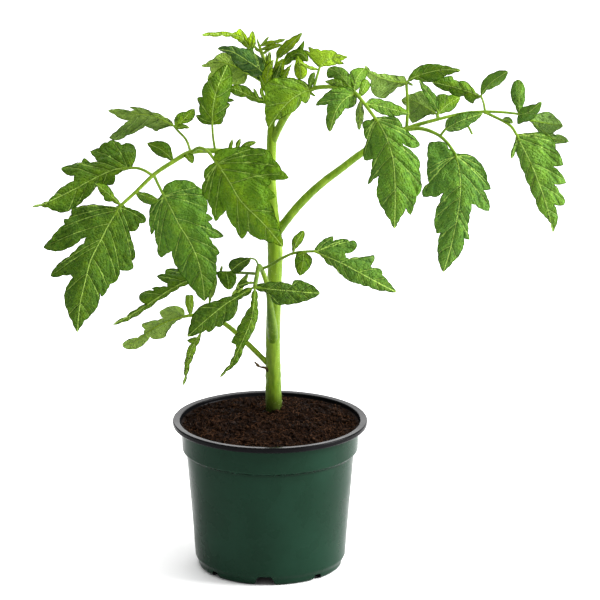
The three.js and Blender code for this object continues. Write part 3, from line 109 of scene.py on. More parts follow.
# The broad one in front of the stem
LEAF_LEFT.leaflet(
    stalk=[[-52, 273, 7.5], [-47, 275.5, 5], [-41, 272.5, 2]],
    rib=[[-36, 266, 0], [-28, 254.5, -3], [-19.3, 240, -6], [-4.3, 225, -8], [8.8, 209.5, -8]],
    one=[[-37.5, 270], [-35.5, 273.5], [-25, 275.5], [-10, 275.3], [-1, 274], [2, 268], [8, 260.5],
         [12.7, 255.5], [6, 254], [-1, 254.8], [1, 252.5], [-2, 249.5], [4, 243], [-1.5, 240.8],
         [1, 237], [3.5, 230], [6, 222], [8, 216]],
    two=[[-38.5, 265], [-41.5, 263], [-44, 259], [-43.5, 254], [-46, 249], [-42, 241], [-39, 235],
         [-37.5, 230], [-36, 226.5], [-33, 230], [-29.5, 233.5], [-27, 227.5], [-23, 222],
         [-18.7, 214.5], [-15, 219.7], [-9, 215.5], [-4, 214], [3, 212]],
    lean=(0.08, 0.25), root=1.2, tint=-0.1,
)
# The one that hangs beside it
LEAF_LEFT.leaflet(
    stalk=[[-77.5, 257.5, 4], [-74.5, 251, 5]],
    rib=[[-71.5, 245, 6], [-66, 235, 7], [-61, 225, 8], [-53, 212, 9], [-48, 200, 9], [-45, 187, 8],
         [-43.5, 173, 6]],
    one=[[-70.5, 250], [-66, 253], [-60, 254], [-53, 253], [-49, 250], [-44, 246], [-42, 240],
         [-41.5, 236], [-42.5, 231.5], [-38, 228.5], [-41, 226], [-38, 222], [-30.5, 216.5], [-34, 215],
         [-40.5, 215.5], [-38, 211], [-33.5, 206], [-35.5, 204], [-36, 198], [-35.5, 194], [-37, 187],
         [-40, 180]],
    two=[[-74, 242], [-79, 238], [-80.5, 230], [-80, 222], [-79, 217.5], [-76.5, 221.5], [-76.5, 215],
         [-75, 210], [-74.5, 204], [-72.5, 202], [-69, 204.5], [-65.5, 206.5], [-64.5, 201], [-62, 196],
         [-56, 188], [-50, 180], [-46, 175]],
    lean=(0.15, 0.12), root=1.1, tint=-0.05, bloom=0.4,
)
LEAF_LEFT.leaflet(
    rib=[[-89.5, 246, 2], [-82, 243, 1], [-74.5, 240.5, -0.5]],
    one=[[-85, 245.8], [-80, 244.5], [-76.5, 242.5]],
    two=[[-88.5, 243], [-86, 240], [-82, 238], [-78, 237.5]],
    root=0.7, bloom=0.3,
)
# The leaflet at the end, with deep lobes on its left
LEAF_LEFT.leaflet(
    rib=[[-99, 238, 0], [-107, 225, -3], [-113.5, 212.5, -6], [-119.5, 200.5, -9], [-123, 187, -11],
         [-126.5, 172, -12], [-128.5, 152.5, -12]],
    one=[[-103, 236], [-107, 235.3], [-114, 237.3], [-122, 237.3], [-128, 236], [-132, 235.5],
         [-132.5, 231], [-134.5, 228], [-137.5, 228], [-137, 224.5], [-142, 220], [-146, 215],
         [-149, 212], [-151, 208.8], [-146, 207], [-141, 206.5], [-135, 208.5], [-130, 211],
         [-126, 214.5], [-122.5, 216], [-124, 212], [-130, 207], [-134, 203], [-139, 200], [-143, 196],
         [-146.5, 190], [-143, 189], [-138, 190.5], [-133, 190.8], [-131.5, 189], [-134, 185.5],
         [-136.5, 180], [-137, 174], [-135, 167], [-132, 160], [-130, 155]],
    two=[[-96, 236], [-92, 234.5], [-86, 232], [-83.5, 230], [-82.5, 227], [-83.5, 225.5], [-87, 225],
         [-88, 222], [-90, 220], [-94.5, 220], [-93, 215], [-90.5, 208], [-90, 202], [-92, 200],
         [-91, 195.5], [-93, 194], [-97, 193.5], [-100, 194], [-101, 189], [-103, 186], [-106.5, 184.5],
         [-108.5, 181], [-112, 176], [-113.5, 178.5], [-114, 173], [-116, 168], [-119, 164.5],
         [-124, 160], [-127, 155]],
    lean=(0.2, 0.2), root=1.1, tint=-0.8,
)
LEAF_LEFT.leaflet(
    rib=[[-99.2, 237.2, 0], [-109, 246, -2], [-116.5, 251.5, -3]],
    one=[[-103.5, 243], [-105.5, 247], [-108.5, 250.5], [-112, 251.8]],
    two=[[-105, 239.5], [-110, 240], [-111, 243], [-115, 249]],
    lean=(0.3, 0.1), root=0.8, tint=-0.3,
)
# The one that points away to the left, seen from above
LEAF_LEFT.leaflet(
    stalk=[[-79, 257.5, 4], [-84, 260.5, 5], [-89, 262, 6]],
    rib=[[-93, 262, 7], [-103, 261, 9], [-112, 257.5, 10], [-119, 254, 10], [-128, 249, 9],
         [-140, 243, 7], [-150, 238.5, 5], [-159, 236.3, 3]],
    one=[[-90.5, 265], [-89, 270], [-90, 276], [-93, 278.7], [-99, 277.7], [-103, 280], [-105, 280.5],
         [-108, 278.5], [-111, 278], [-114, 275.5], [-116, 275.5], [-120, 273], [-117, 269.5],
         [-115.5, 267], [-120, 266], [-123.5, 268], [-125.5, 265], [-133, 264.5], [-137, 263.5],
         [-139.5, 261.5], [-137, 259], [-134, 257.5], [-130.5, 256.5], [-131, 253.5], [-137, 250],
         [-141, 247.5], [-144, 243.5], [-148, 240], [-153, 238.3]],
    two=[[-99, 260.3], [-103, 257], [-104.5, 251], [-110, 251], [-116, 249.5], [-118, 246], [-124, 241],
         [-129, 237], [-133, 234.5], [-137, 232], [-142, 233], [-148, 235.5], [-153, 237]],
    lean=(0.6, -0.2), root=1.1, tint=-0.5,
)
# Three at the back, seen from below
LEAF_LEFT.leaflet(
    stalk=[[-53, 273, 8], [-56, 281, 12], [-61.5, 287, 14]],
    rib=[[-64, 290, 15], [-75, 296, 18], [-88, 298, 22], [-99, 299, 25], [-108, 300.5, 27]],
    one=[[-66, 294], [-70, 295.8], [-78, 299.5], [-84, 302], [-94, 302.5], [-88, 300.7], [-93, 300],
         [-99, 301.3], [-104, 301.2]],
    two=[[-68, 290], [-71, 290.2], [-73, 288.5], [-75, 286.5], [-79, 288], [-83, 290], [-87, 287.5],
         [-95, 284], [-100, 281], [-107.5, 281.8], [-102, 287], [-98, 290.5], [-94, 293.8], [-100, 295],
         [-104, 298]],
    lean=(0.3, 0.35), under=True,
)
LEAF_LEFT.leaflet(
    rib=[[-62.5, 289, 14.5], [-57, 295, 18], [-50.5, 301.8, 22]],
    one=[[-64, 294], [-61, 298.5], [-56, 299.5]],
    two=[[-58, 291.7], [-53, 293], [-50, 297]],
    root=0.7,
)
LEAF_LEFT.leaflet(
    rib=[[-62, 288.5, 14.3], [-58, 290, 12], [-53.5, 288.6, 9]],
    one=[[-61, 291.3], [-57.5, 291.3]],
    two=[[-60, 287.8], [-57, 288.3]],
    root=0.6,
)
# The one that stands upright
LEAF_LEFT.leaflet(
    stalk=[[-36.5, 273.5, 10], [-38, 283, 9]],
    rib=[[-38.5, 291, 8], [-38, 302, 7], [-35.5, 314, 8], [-31, 325, 11], [-28.3, 331, 13]],
    one=[[-42, 291], [-45, 291.5], [-49.5, 297], [-46.5, 297.5], [-47, 304], [-48.5, 309], [-45, 309.5],
         [-45, 315], [-42, 319.5], [-38, 323.5], [-33.5, 328.5]],
    two=[[-35.5, 291], [-32.5, 291.3], [-31, 295], [-29, 301], [-26.5, 304.5], [-28.5, 305.5],
         [-23.5, 307.2], [-27.5, 308.5], [-26, 314], [-25.5, 320], [-26, 327]],
    lean=(0.2, 0.15), tint=-0.3,
)
LEAF_LEFT.leaflet(
    rib=[[-65, 266.5, 6], [-67.5, 270, 7], [-73, 274.5, 9], [-82, 278.5, 12]],
    one=[[-65.5, 273], [-67, 277], [-70, 279.3], [-74, 280], [-78, 279.5]],
    two=[[-69, 268.5], [-73, 269.5], [-77, 272], [-80, 275.5]],
    root=0.7, tint=-0.4,
)
LEAF_LEFT.leaflet(
    rib=[[-55.5, 271.5, 7], [-53.5, 268, 4], [-52, 265, 2]],
    one=[[-51, 271], [-50.5, 268], [-51, 265.8]],
    two=[[-57.5, 270.3], [-55.5, 268], [-53.5, 266]],
    root=0.7,
)
LEAF_LEFT.leaflet(
    rib=[[-26.5, 272, 12], [-26.3, 277, 12.5], [-25, 281.5, 13]],
    one=[[-27.8, 276]],
    two=[[-25, 276.5]],
    root=0.7,
)
LEAF_LEFT.leaflet(
    rib=[[-22, 271, 12.5], [-21.5, 277, 13], [-19.5, 281.7, 14]],
    one=[[-23, 276], [-22, 280]],
    two=[[-20.5, 276]],
    root=0.7,
)
LEAF_LEFT.leaflet(
    rib=[[-19, 270.5, 13], [-16, 277, 14], [-9, 279.3, 15]],
    one=[[-20, 275], [-17, 278.8], [-13, 280]],
    two=[[-15.5, 273.5], [-13, 276.5]],
    root=0.7,
)

# The leaf that spreads to the right.
LEAF_RIGHT = Leaf("leaf_right", tint=0.0, bloom=0.65)
LEAF_RIGHT.shoot(
    [[3, 216, 20], [9, 224.5, 20], [20, 238, 20.5], [33, 250.5, 21], [48, 262, 22], [62.7, 273, 23],
     [78, 282.5, 24], [91, 288.3, 25]],
    [3, 2.8, 2.4, 1.9],
)
LEAF_RIGHT.shoot(
    [[89, 287.5, 25], [100, 291.3, 25], [112, 294.5, 25], [122, 297, 26], [132, 299, 26],
     [143.5, 299.7, 26]],
    [1.6, 1.1, 0.9],
)
LEAF_RIGHT.shoot([[91, 287, 25], [91.7, 300, 27], [91.5, 310, 29], [90.8, 319.5, 31]], [1.2, 1])
LEAF_RIGHT.shoot(
    [[90, 287.6, 25], [100, 288.3, 23], [107, 286.5, 21], [113, 283.5, 20], [118, 279, 19],
     [123.5, 271.5, 17]],
    [1.5, 1.2, 1],
)
LEAF_RIGHT.shoot(
    [[142, 299.7, 26], [150, 296, 25], [157, 292.5, 23], [161, 289.5, 22], [165, 283.3, 20.8]],
    [1, 1],
)
LEAF_RIGHT.shoot([[142.5, 299.7, 26], [155, 299.2, 26], [166, 298, 26]], [1, 0.8])
LEAF_RIGHT.shoot([[143.5, 298, 26], [142.5, 305, 28], [140.5, 310.5, 29]], [0.9, 0.7])
LEAF_RIGHT.shoot([[165, 298, 26], [170, 295.5, 28], [175.5, 292.3, 30.4]], [0.8, 0.75])
LEAF_RIGHT.shoot(
    [[131, 299.3, 26], [130.5, 292, 27.5], [133, 288.3, 27], [134.7, 284.5, 26]],
    [0.7, 0.8],
)
LEAF_RIGHT.leaflet(
    rib=[[91, 319, 31], [82, 320, 30], [72, 323, 27], [65, 327, 24], [63, 330.5, 23]],
    one=[[90, 323], [86, 323.5], [80, 324], [72, 324.8], [67, 326.7], [65, 329.5]],
    two=[[88.5, 316.5], [85, 316], [80, 311], [77, 307.8], [70, 310], [67, 315], [67.5, 320],
         [64, 325]],
    lean=(0.3, 0.2), bloom=0.1, under=True,
)
LEAF_RIGHT.leaflet(
    rib=[[91, 319.3, 31], [93, 318.3, 30], [95.7, 317, 29]],
    one=[[93.3, 319.2]],
    two=[[93, 317.2]],
    root=0.6,
)
LEAF_RIGHT.leaflet(
    rib=[[91.2, 319.5, 31], [95, 322, 31], [103, 325, 31], [115, 327.5, 28], [127.3, 327, 25]],
    one=[[94.5, 325.5], [98, 329], [103, 331], [109, 331.3], [115, 330.3], [122, 328.7]],
    two=[[96, 321], [99, 320.5], [104, 319.3], [109, 319.7], [114, 322], [118, 324], [123, 325.5]],
    lean=(0.35, 0.1), root=0.8, tint=-0.2, bloom=0.2,
)
LEAF_RIGHT.leaflet(
    rib=[[140.5, 309.5, 29], [132, 313, 30], [122, 316, 32], [108, 319.3, 34]],
    one=[[137, 312.5], [134, 316.5], [130, 320], [126, 319.8], [122.5, 320.8], [121.5, 323.3],
         [116, 322.5], [111, 320.8]],
    two=[[138.5, 308], [136.5, 308], [135.5, 304.8], [132, 306.5], [129, 310], [124, 310], [119, 313],
         [113, 315]],
    lean=(0.35, 0.1), tint=-0.2, bloom=0.2,
)
LEAF_RIGHT.leaflet(
    rib=[[140.5, 310, 29], [142.5, 313.5, 28], [148, 319.5, 25], [158.5, 326.5, 20]],
    one=[[141, 318], [144, 322.5], [149, 325.5], [154, 327.2]],
    two=[[144.5, 314], [150, 316], [155, 319.5], [158, 323.5]],
    lean=(0.3, 0.1), root=0.8,
)
LEAF_RIGHT.leaflet(
    stalk=[[111.5, 294.4, 25], [111.5, 296, 27]],
    rib=[[111, 298, 30], [103, 303, 34], [95, 307, 38], [87.5, 307, 40]],
    one=[[107, 307], [104, 313], [101, 313.5], [96, 311.8], [91, 310]],
    two=[[107, 297.5], [103, 297], [99, 293.5], [95, 291.7], [93, 296], [91, 303]],
    lean=(0.4, 0.1), bloom=0.1, under=True,
)
LEAF_RIGHT.leaflet(
    stalk=[[112.5, 294.6, 25], [112.2, 296, 27]],
    rib=[[112, 298, 29], [118, 304, 34], [127, 309.5, 38]],
    one=[[110, 304], [112, 311], [119, 310.7]],
    two=[[117, 299], [121, 300], [125, 305]],
    lean=(0.3, 0.1), tint=0.1, bloom=0.1,
)
LEAF_RIGHT.leaflet(
    stalk=[[112, 294.5, 25], [111.5, 297, 26.5]],
    rib=[[112, 299, 27], [108, 308, 26], [103, 315, 25], [99.5, 320.5, 26]],
    one=[[108.5, 302], [105, 308], [102, 313], [100, 318]],
    two=[[112.5, 303], [111.5, 309], [108, 313], [103, 318]],
    lean=(-0.1, 0.2),
)
LEAF_RIGHT.leaflet(
    stalk=[[113.5, 283.5, 20]],
    rib=[[117, 288, 19], [127, 293.5, 18], [142, 298.4, 19]],
    one=[[117.5, 294], [123, 296.5], [129, 298.7], [136, 299.2]],
    two=[[118.5, 286.3], [123, 286.3], [129, 288], [134, 291.5], [139, 295]],
    lean=(0.1, 0.1),
)
# The broad one that hangs
LEAF_RIGHT.leaflet(
    rib=[[123.5, 271.5, 17], [126, 262, 14], [127, 252, 12], [126.5, 240, 11], [124, 225, 11],
         [120, 207, 12], [115.5, 192.5, 13]],
    one=[[119, 275], [116, 279.5], [110, 279.7], [106, 279], [105, 274], [105.3, 268], [104.8, 262],
         [105, 256], [106, 252], [101.5, 247.5], [102, 243], [107, 243.5], [110.5, 242.7], [114, 245],
         [115.5, 245.5], [113, 239], [110, 230], [109.3, 225.5], [110.5, 221], [111, 218.5],
         [113.5, 218.7], [112, 211], [112, 204], [113, 198]],
    two=[[127, 271.5], [134, 270.3], [139, 266.5], [143, 261], [145, 253.5], [147.3, 247.8],
         [142.5, 247], [145, 242], [146.5, 238], [146, 233], [141, 234.5], [137, 237.5], [134.5, 238],
         [133, 231], [132, 224], [132, 219], [133, 214.5], [129.5, 215], [129, 210], [127.5, 206],
         [122, 199.5], [118, 195]],
    lean=(0.12, 0.15), root=1, tint=-0.1,
)
LEAF_RIGHT.leaflet(
    rib=[[155, 294, 24], [158, 294.5, 20.5], [162, 291.7, 17.8]],
    one=[[156, 295.8], [159.5, 296], [161.5, 294]],
    two=[[158.5, 292.3]],
    root=0.7,
)
# The outermost, hanging
LEAF_RIGHT.leaflet(
    rib=[[164.5, 284.5, 21], [168, 277, 18], [174, 265, 15], [180, 250, 13], [185, 235, 12],
         [188.7, 219, 12]],
    one=[[168, 285], [174, 285], [180, 286], [185, 283.5], [190, 279], [190.5, 275], [195.5, 264],
         [189, 263], [193, 259.5], [197.5, 252], [189.5, 251], [193, 246], [197, 240], [195.5, 237],
         [189.5, 237.5], [191.5, 232], [191.5, 226], [190, 222]],
    two=[[163.5, 281], [164, 274], [166, 268], [170, 258], [173, 250], [177, 241], [178, 236.5],
         [182, 231], [185, 228], [187.3, 225], [188, 221]],
    lean=(0.15, 0.1), root=1, tint=0.1,
)
LEAF_RIGHT.leaflet(
    rib=[[165.6, 283, 20.6], [162.6, 274, 17.5], [161, 268, 16]],
    one=[[162, 276], [160.5, 272]],
    two=[[163.5, 272]],
    root=0.6,
)
LEAF_RIGHT.leaflet(
    rib=[[166, 298, 26], [166.2, 304, 27], [166, 311, 27], [166, 321, 28]],
    one=[[163.5, 303.5], [160.5, 310], [161, 316], [163, 320]],
    two=[[169, 304], [170, 311], [169, 318]],
    lean=(0.2, 0.2), root=0.8,
)
LEAF_RIGHT.leaflet(
    rib=[[165.5, 297.5, 26], [172, 299, 24], [181, 306.3, 22]],
    one=[[167, 301.5], [172, 303.5], [177, 304.5]],
    two=[[165, 291.3], [169, 292.5], [174, 294], [178, 298], [180.5, 302]],
    lean=(0.2, 0.1), root=0.8,
)
LEAF_RIGHT.leaflet(
    rib=[[173, 293.8, 29.4], [184, 292, 30], [195.5, 290, 28]],
    one=[[177, 297], [181, 299], [186, 299.5], [191, 295.5]],
    two=[[177.5, 290], [181, 286.3], [186, 284.5], [191, 287]],
    lean=(0.3, 0.2), root=0.8, under=True,
)
LEAF_RIGHT.leaflet(
    rib=[[174.5, 292.8, 30], [181, 288, 31], [189, 281.5, 30], [199.5, 279.7, 28]],
    one=[[184, 287.3], [190, 284.3], [194, 284.2]],
    two=[[178, 287.5], [184, 282.5], [189, 278.6], [194, 278.3]],
    root=0.7, under=True,
)

# The leaf that comes forward on the right, with two young leaflets near its root.
LEAF_FORWARD = Leaf("leaf_forward", tint=0.1, bloom=0.4)
LEAF_FORWARD.shoot(
    [[1.5, 279, 20], [5, 287, 18.5], [10.5, 297, 16.5], [17, 306, 14], [24, 312.3, 12], [30, 315.3, 10],
     [45, 316, 5], [55, 313.5, 0], [62, 306, -5], [71, 294, -9.5]],
    [2.6, 2.5, 1.6, 1.4, 1.1],
)
LEAF_FORWARD.shoot([[29, 315, 10], [31, 322, 12], [33.3, 329.5, 14]], [1, 0.8])
LEAF_FORWARD.leaflet(
    rib=[[57, 312, -1], [50, 308, -5], [44, 300, -8], [39.8, 286, -9]],
    one=[[54, 316], [48, 315.5], [44, 315], [39, 313], [35, 309.5], [30.3, 303.5], [34, 303.8],
         [38.5, 304.5], [38, 298], [37.2, 292]],
    two=[[58, 307], [56, 303], [50, 301.5], [48.5, 299.5], [46.5, 296.5], [44, 294], [42.3, 290]],
    lean=(0.25, 0.1), root=1, tint=-0.15,
)
LEAF_FORWARD.leaflet(
    rib=[[54, 315, 0], [46, 325, 6], [39, 328.7, 9]],
    one=[[53.5, 323], [51, 327], [46, 329.5], [41, 329.5]],
    two=[[49, 319], [47, 321], [42, 322.3], [38.5, 322], [37.8, 326]],
    lean=(0.3, -0.05), tint=-0.1,
)
LEAF_FORWARD.leaflet(
    rib=[[52, 315.2, 1], [44, 319, 1], [36.5, 319.5, 2]],
    one=[[49, 319.5], [46, 321.3], [40, 321]],
    two=[[48, 316], [44, 316.3], [40, 317.6]],
    lean=(0.05, 0.1), root=0.8,
)
LEAF_FORWARD.leaflet(
    rib=[[56, 313, 0], [58, 322, 6], [63, 328.5, 12]],
    one=[[53.5, 320], [53.5, 326.5], [57, 328.3], [60, 329]],
    two=[[60, 316], [62, 319], [64.5, 324], [65, 327.5]],
    lean=(0.2, 0.3),
)
LEAF_FORWARD.leaflet(
    rib=[[59.5, 309.5, -3], [63, 316, -1], [65, 321, 2]],
    one=[[60, 316.5], [62, 321]],
    two=[[64.5, 312.5], [67, 317.5]],
    lean=(0.1, 0.1), root=0.8,
)
LEAF_FORWARD.leaflet(
    rib=[[64, 304.5, -6], [70, 304, -3], [80, 301.5, 1], [93, 298, 4]],
    one=[[67, 308.3], [70, 308.5], [76, 307], [84, 304.3], [88, 302.5]],
    two=[[69, 301], [72, 299], [77, 297.3], [84, 296.6], [88, 297.4]],
    lean=(0.3, 0.1),
)
# The leaflet at the end
LEAF_FORWARD.leaflet(
    rib=[[70, 295.5, -9], [75, 288, -12], [79, 279, -14], [82.5, 265, -16], [83.5, 245, -17],
         [83, 221.5, -16]],
    one=[[67, 294], [63, 293.5], [61.5, 291.5], [62.5, 288], [63, 283], [65, 280.3], [64, 278],
         [62.5, 274], [63, 267], [68.5, 268], [68, 262], [67, 257], [65.2, 250.8], [69, 254.5],
         [72.5, 256.8], [72, 251], [71, 246], [72, 241.5], [76, 234], [80, 227.5]],
    two=[[73.5, 296], [78, 296.3], [84, 296], [87, 293], [88.5, 288.5], [94, 284.5], [98, 281],
         [100, 277], [97, 275.3], [92, 276], [88, 279], [86, 281.5], [89, 277], [96, 271.5], [99, 268],
         [100, 266], [99.5, 261], [100.5, 254], [101, 247.5], [97.8, 243], [96, 237], [93.5, 230.5],
         [90.5, 235], [87, 229], [85, 225]],
    lean=(0.2, 0.2), root=1.1, tint=-0.1,
)
LEAF_FORWARD.leaflet(
    rib=[[60.5, 307.5, -4], [60, 300, -2], [59.7, 293, -1], [59.3, 287, 0]],
    one=[[58, 303], [57, 297], [58, 291]],
    two=[[62, 303], [62.5, 297], [61, 291]],
    root=0.7, under=True,
)
# The young bright one in front of the stem
LEAF_FORWARD.leaflet(
    rib=[[27, 314.3, 11], [22, 312.5, 7], [14, 307.5, 5], [6, 299, 4], [-1, 288.8, 4.5]],
    one=[[24, 319], [18, 321.3], [12, 322.3], [5, 322], [-1, 320], [-4, 316.5], [-3.5, 311],
         [-3.2, 304], [-3, 297], [-2.3, 291.5]],
    two=[[28, 312.5], [30.5, 309.5], [27, 311], [25.8, 307], [24, 304.8], [21, 306.8], [20, 303.8],
         [18, 301.5], [15, 299], [11, 297.7], [8, 295.5], [4, 294], [1.5, 290.5]],
    lean=(0.12, 0.1), root=1, tint=0.05, bloom=0.1,
)
# A fan of lobes on a thin stalk
LEAF_FORWARD.leaflet(
    rib=[[33, 329, 14], [38, 334, 15], [45, 336, 16], [52, 336, 16]],
    one=[[30.5, 331], [28, 334], [25, 337.5], [23, 340.7], [26.5, 339.5], [25.5, 343], [29, 341.5],
         [31.5, 341.7], [34, 340.2], [39, 340.7], [43, 340], [45, 338], [49, 337]],
    two=[[36, 330], [41, 330.3], [44.5, 331.2], [49.5, 331.5], [47, 333.3], [50, 334.8]],
    lean=(0.25, 0.1), root=0.8, tint=1.6, bloom=0.6,
)
LEAF_FORWARD.leaflet(
    rib=[[32.5, 327.5, 13.5], [27, 328.5, 13], [20, 332.5, 12]],
    one=[[30, 329], [26.5, 330]],
    two=[[30, 327], [25.5, 328]],
    root=0.7, tint=1.5,
)
LEAF_FORWARD.leaflet(
    rib=[[26, 313.5, 11], [27.5, 320, 9], [30, 325.7, 9]],
    one=[[25.3, 318], [26, 323], [28, 325.5]],
    two=[[28.3, 317], [29.8, 322]],
    root=0.7,
)

# The leaf that comes forward low down. Its petiole runs up the front of the stem, then bends
# over, and its side shoots go both ways.
LEAF_FRONT = Leaf("leaf_front", tint=-0.1)
LEAF_FRONT.shoot(
    [[2, 146, 19.2], [1.9, 151, 18.2], [1.4, 157, 17.3], [0.8, 163, 16.6], [0.1, 170.5, 15.8],
     [-0.9, 178.5, 14.8], [-2.2, 185, 13.3], [-4.2, 191, 10.6], [-6.2, 195.5, 6.9], [-7.5, 196.5, 3.9],
     [-8.8, 190, 0], [-10, 183, -3]],
    [3.2, 3.5, 3.4, 2.9, 2.2, 1.9, 1.8, 1.7, 1.6, 1.6, 1.5, 1.5],
    # The paler tints where the petiole bends over are partly painted highlight and partly the pale of its
    # hairs.
    [-0.7, -0.8, -0.85, -0.85, -0.8, -0.7, 0.6, 0.9, 0.1, -0.5, -0.6, -0.6],
)
LEAF_FRONT.shoot(
    [[-8.6, 191.5, 1], [-16, 192, 8], [-24, 192.3, 13], [-36, 192, 16], [-50, 188.5, 18]],
    [1.1, 0.9],
    [-0.5, -0.4],
)
LEAF_FRONT.shoot(
    [[-5, 195, 7], [1, 197.5, 7], [6, 200.7, 6], [15, 205, 5], [24, 206.3, 3], [30.5, 206.5, 2]],
    [1, 0.9],
)
LEAF_FRONT.shoot([[-7.5, 196, 4], [-9.7, 200.8, 3], [-13.5, 202, 3]], [0.7, 0.6], [-0.9, -0.9])
LEAF_FRONT.leaflet(
    stalk=[[-10, 183, -3]],
    rib=[[-12, 181.8, -3.2], [-22, 176, -4], [-30, 171, -5], [-40, 163, -6], [-48, 156, -6],
         [-55, 149.5, -5]],
    one=[[-15, 182.4], [-20, 179], [-26, 176.5], [-35, 173.5], [-40, 172], [-45, 170.5], [-49, 167],
         [-52, 162.5], [-53, 158], [-54.7, 152.5]],
    two=[[-12.6, 179], [-17.5, 176], [-21.5, 173.8], [-21.5, 169], [-23, 164.5], [-26, 161],
         [-30, 159.5], [-33, 156], [-36, 156.5], [-41, 152.5], [-42.7, 153.9], [-48, 151.5]],
    lean=(0.3, 0.2), tint=-0.75, veins=1.5,
)
LEAF_FRONT.leaflet(
    stalk=[[-10, 183, -3]],
    rib=[[-10.2, 181, -4], [-12, 163, -9], [-16, 152, -9], [-21, 141, -8], [-26, 131, -6],
         [-33.5, 122, -3]],
    one=[[-12.1, 179], [-12.2, 174], [-13, 169.5], [-17, 163.5], [-20, 158], [-22, 155.5], [-21.5, 152],
         [-26, 146], [-23, 144.5], [-22.5, 142.5], [-24, 137], [-27, 130.5], [-31, 126.2]],
    two=[[-8.3, 179], [-8.4, 174], [-8.3, 169], [-8, 163], [-9.5, 158], [-12, 151.5], [-16, 146],
         [-18, 141], [-20, 135], [-24, 130], [-29, 126.2]],
    lean=(0.2, 0.3), tint=-0.45, veins=1.6,
)
LEAF_FRONT.leaflet(
    rib=[[-10, 182.5, -3.5], [2, 181, -5], [15, 180, -5], [25, 179, -4], [33.3, 178.5, -3]],
    one=[[-8.4, 184.5], [-4, 185.2], [4, 185.7], [10, 185.5], [14.5, 184], [16, 187], [20, 187.3],
         [23, 186], [27, 184.5], [31, 181.5]],
    two=[[-8.4, 180.3], [-4, 179.5], [0.3, 178], [2, 172.5], [5, 171], [10, 171], [16, 171.5],
         [22, 173], [28, 175], [32, 177]],
    lean=(0.35, 0.1), root=1, tint=-0.85, veins=1.4,
)
# The dark one at the end of the left side shoot
LEAF_FRONT.leaflet(
    rib=[[-49, 188.5, 18], [-57, 186, 18], [-68, 180, 19], [-80, 172, 19], [-92, 164.5, 18],
         [-105, 157.5, 16]],
    one=[[-56, 193.5], [-62, 195], [-69.5, 194.5], [-70, 191.5], [-75.5, 190], [-73, 187.5],
         [-68.5, 185], [-68.5, 183], [-73, 182.7], [-79, 182], [-77.5, 180.5], [-84, 179.5],
         [-87, 177.5], [-87, 174], [-83.5, 171.5], [-89, 168], [-96, 163]],
    two=[[-53, 186], [-60, 182.5], [-66, 179], [-75, 173.5], [-84, 167], [-92, 162], [-99, 159]],
    lean=(0.5, 0.4), tint=-0.55,
)
LEAF_FRONT.leaflet(
    rib=[[-29, 192.2, 14], [-28, 187, 12], [-27.5, 180.8, 11]],
    one=[[-33, 193.6], [-35.6, 192.3], [-34, 188], [-31.5, 184], [-29.5, 181.8]],
    two=[[-25, 193.8], [-22.5, 190.5], [-22.5, 187], [-24, 183.5], [-26, 181.3]],
    root=0.7, tint=-0.5,
)
LEAF_FRONT.leaflet(
    rib=[[-13, 202, 3], [-20, 198.5, 4], [-26, 193.5, 6]],
    one=[[-17, 202.2], [-23, 201.8], [-26.5, 200], [-27.7, 197]],
    two=[[-13.3, 199.5], [-17, 195.5], [-20.5, 192.5], [-24, 191.7]],
    lean=(0.25, 0.1), root=0.6, tint=-0.9,
)
LEAF_FRONT.leaflet(
    rib=[[-9.5, 185.5, -2], [-15, 185.3, -3], [-21, 183.5, -2]],
    one=[[-14.5, 186.3], [-17, 187.2], [-20.5, 186.6]],
    two=[[-14, 184.6], [-17, 183.3], [-19.5, 181.7]],
    root=0.6, tint=-0.9,
)
LEAF_FRONT.leaflet(
    rib=[[-33, 192, 15.5], [-32.5, 194.5, 15], [-31.8, 197.2, 14.5]],
    one=[[-33.4, 194.8]],
    two=[[-31.5, 194.8]],
    root=0.6,
)
LEAF_FRONT.leaflet(
    rib=[[-36.5, 192, 16], [-38, 181, 15.5], [-40.5, 171, 15]],
    one=[[-38.6, 187], [-40, 180], [-40.9, 174]],
    two=[[-35.4, 189], [-36, 182], [-39, 175]],
    lean=(0.3, 0.1), root=0.7, under=True,
)
LEAF_FRONT.leaflet(
    rib=[[-14.5, 191.8, 7], [-20, 182, 7], [-26, 175, 7]],
    one=[[-18.2, 189], [-23, 181.5], [-25.6, 177.5]],
    two=[[-15, 188.5], [-17.5, 182.5], [-22.5, 176.5]],
    lean=(0.1, 0.2), root=0.7, tint=1.6, under=True,
)
LEAF_FRONT.leaflet(
    rib=[[15.3, 205.3, 5], [18, 213, 6.5], [22.5, 220.2, 8]],
    one=[[14.7, 209.5], [14.8, 214.5], [18, 218], [21, 220.3]],
    two=[[17, 208], [20, 211], [22.5, 215], [23.3, 218.5]],
    root=0.8,
)
LEAF_FRONT.leaflet(
    rib=[[22.5, 206.5, 3], [22, 199, 1.5], [20, 190, 1.5]],
    one=[[18.5, 205.6], [17, 203], [16.5, 198.5], [17.5, 194], [19, 191]],
    two=[[25.5, 204.5], [28.2, 201.5], [27, 196.5], [24, 193], [21.5, 190.8]],
    root=0.8,
)
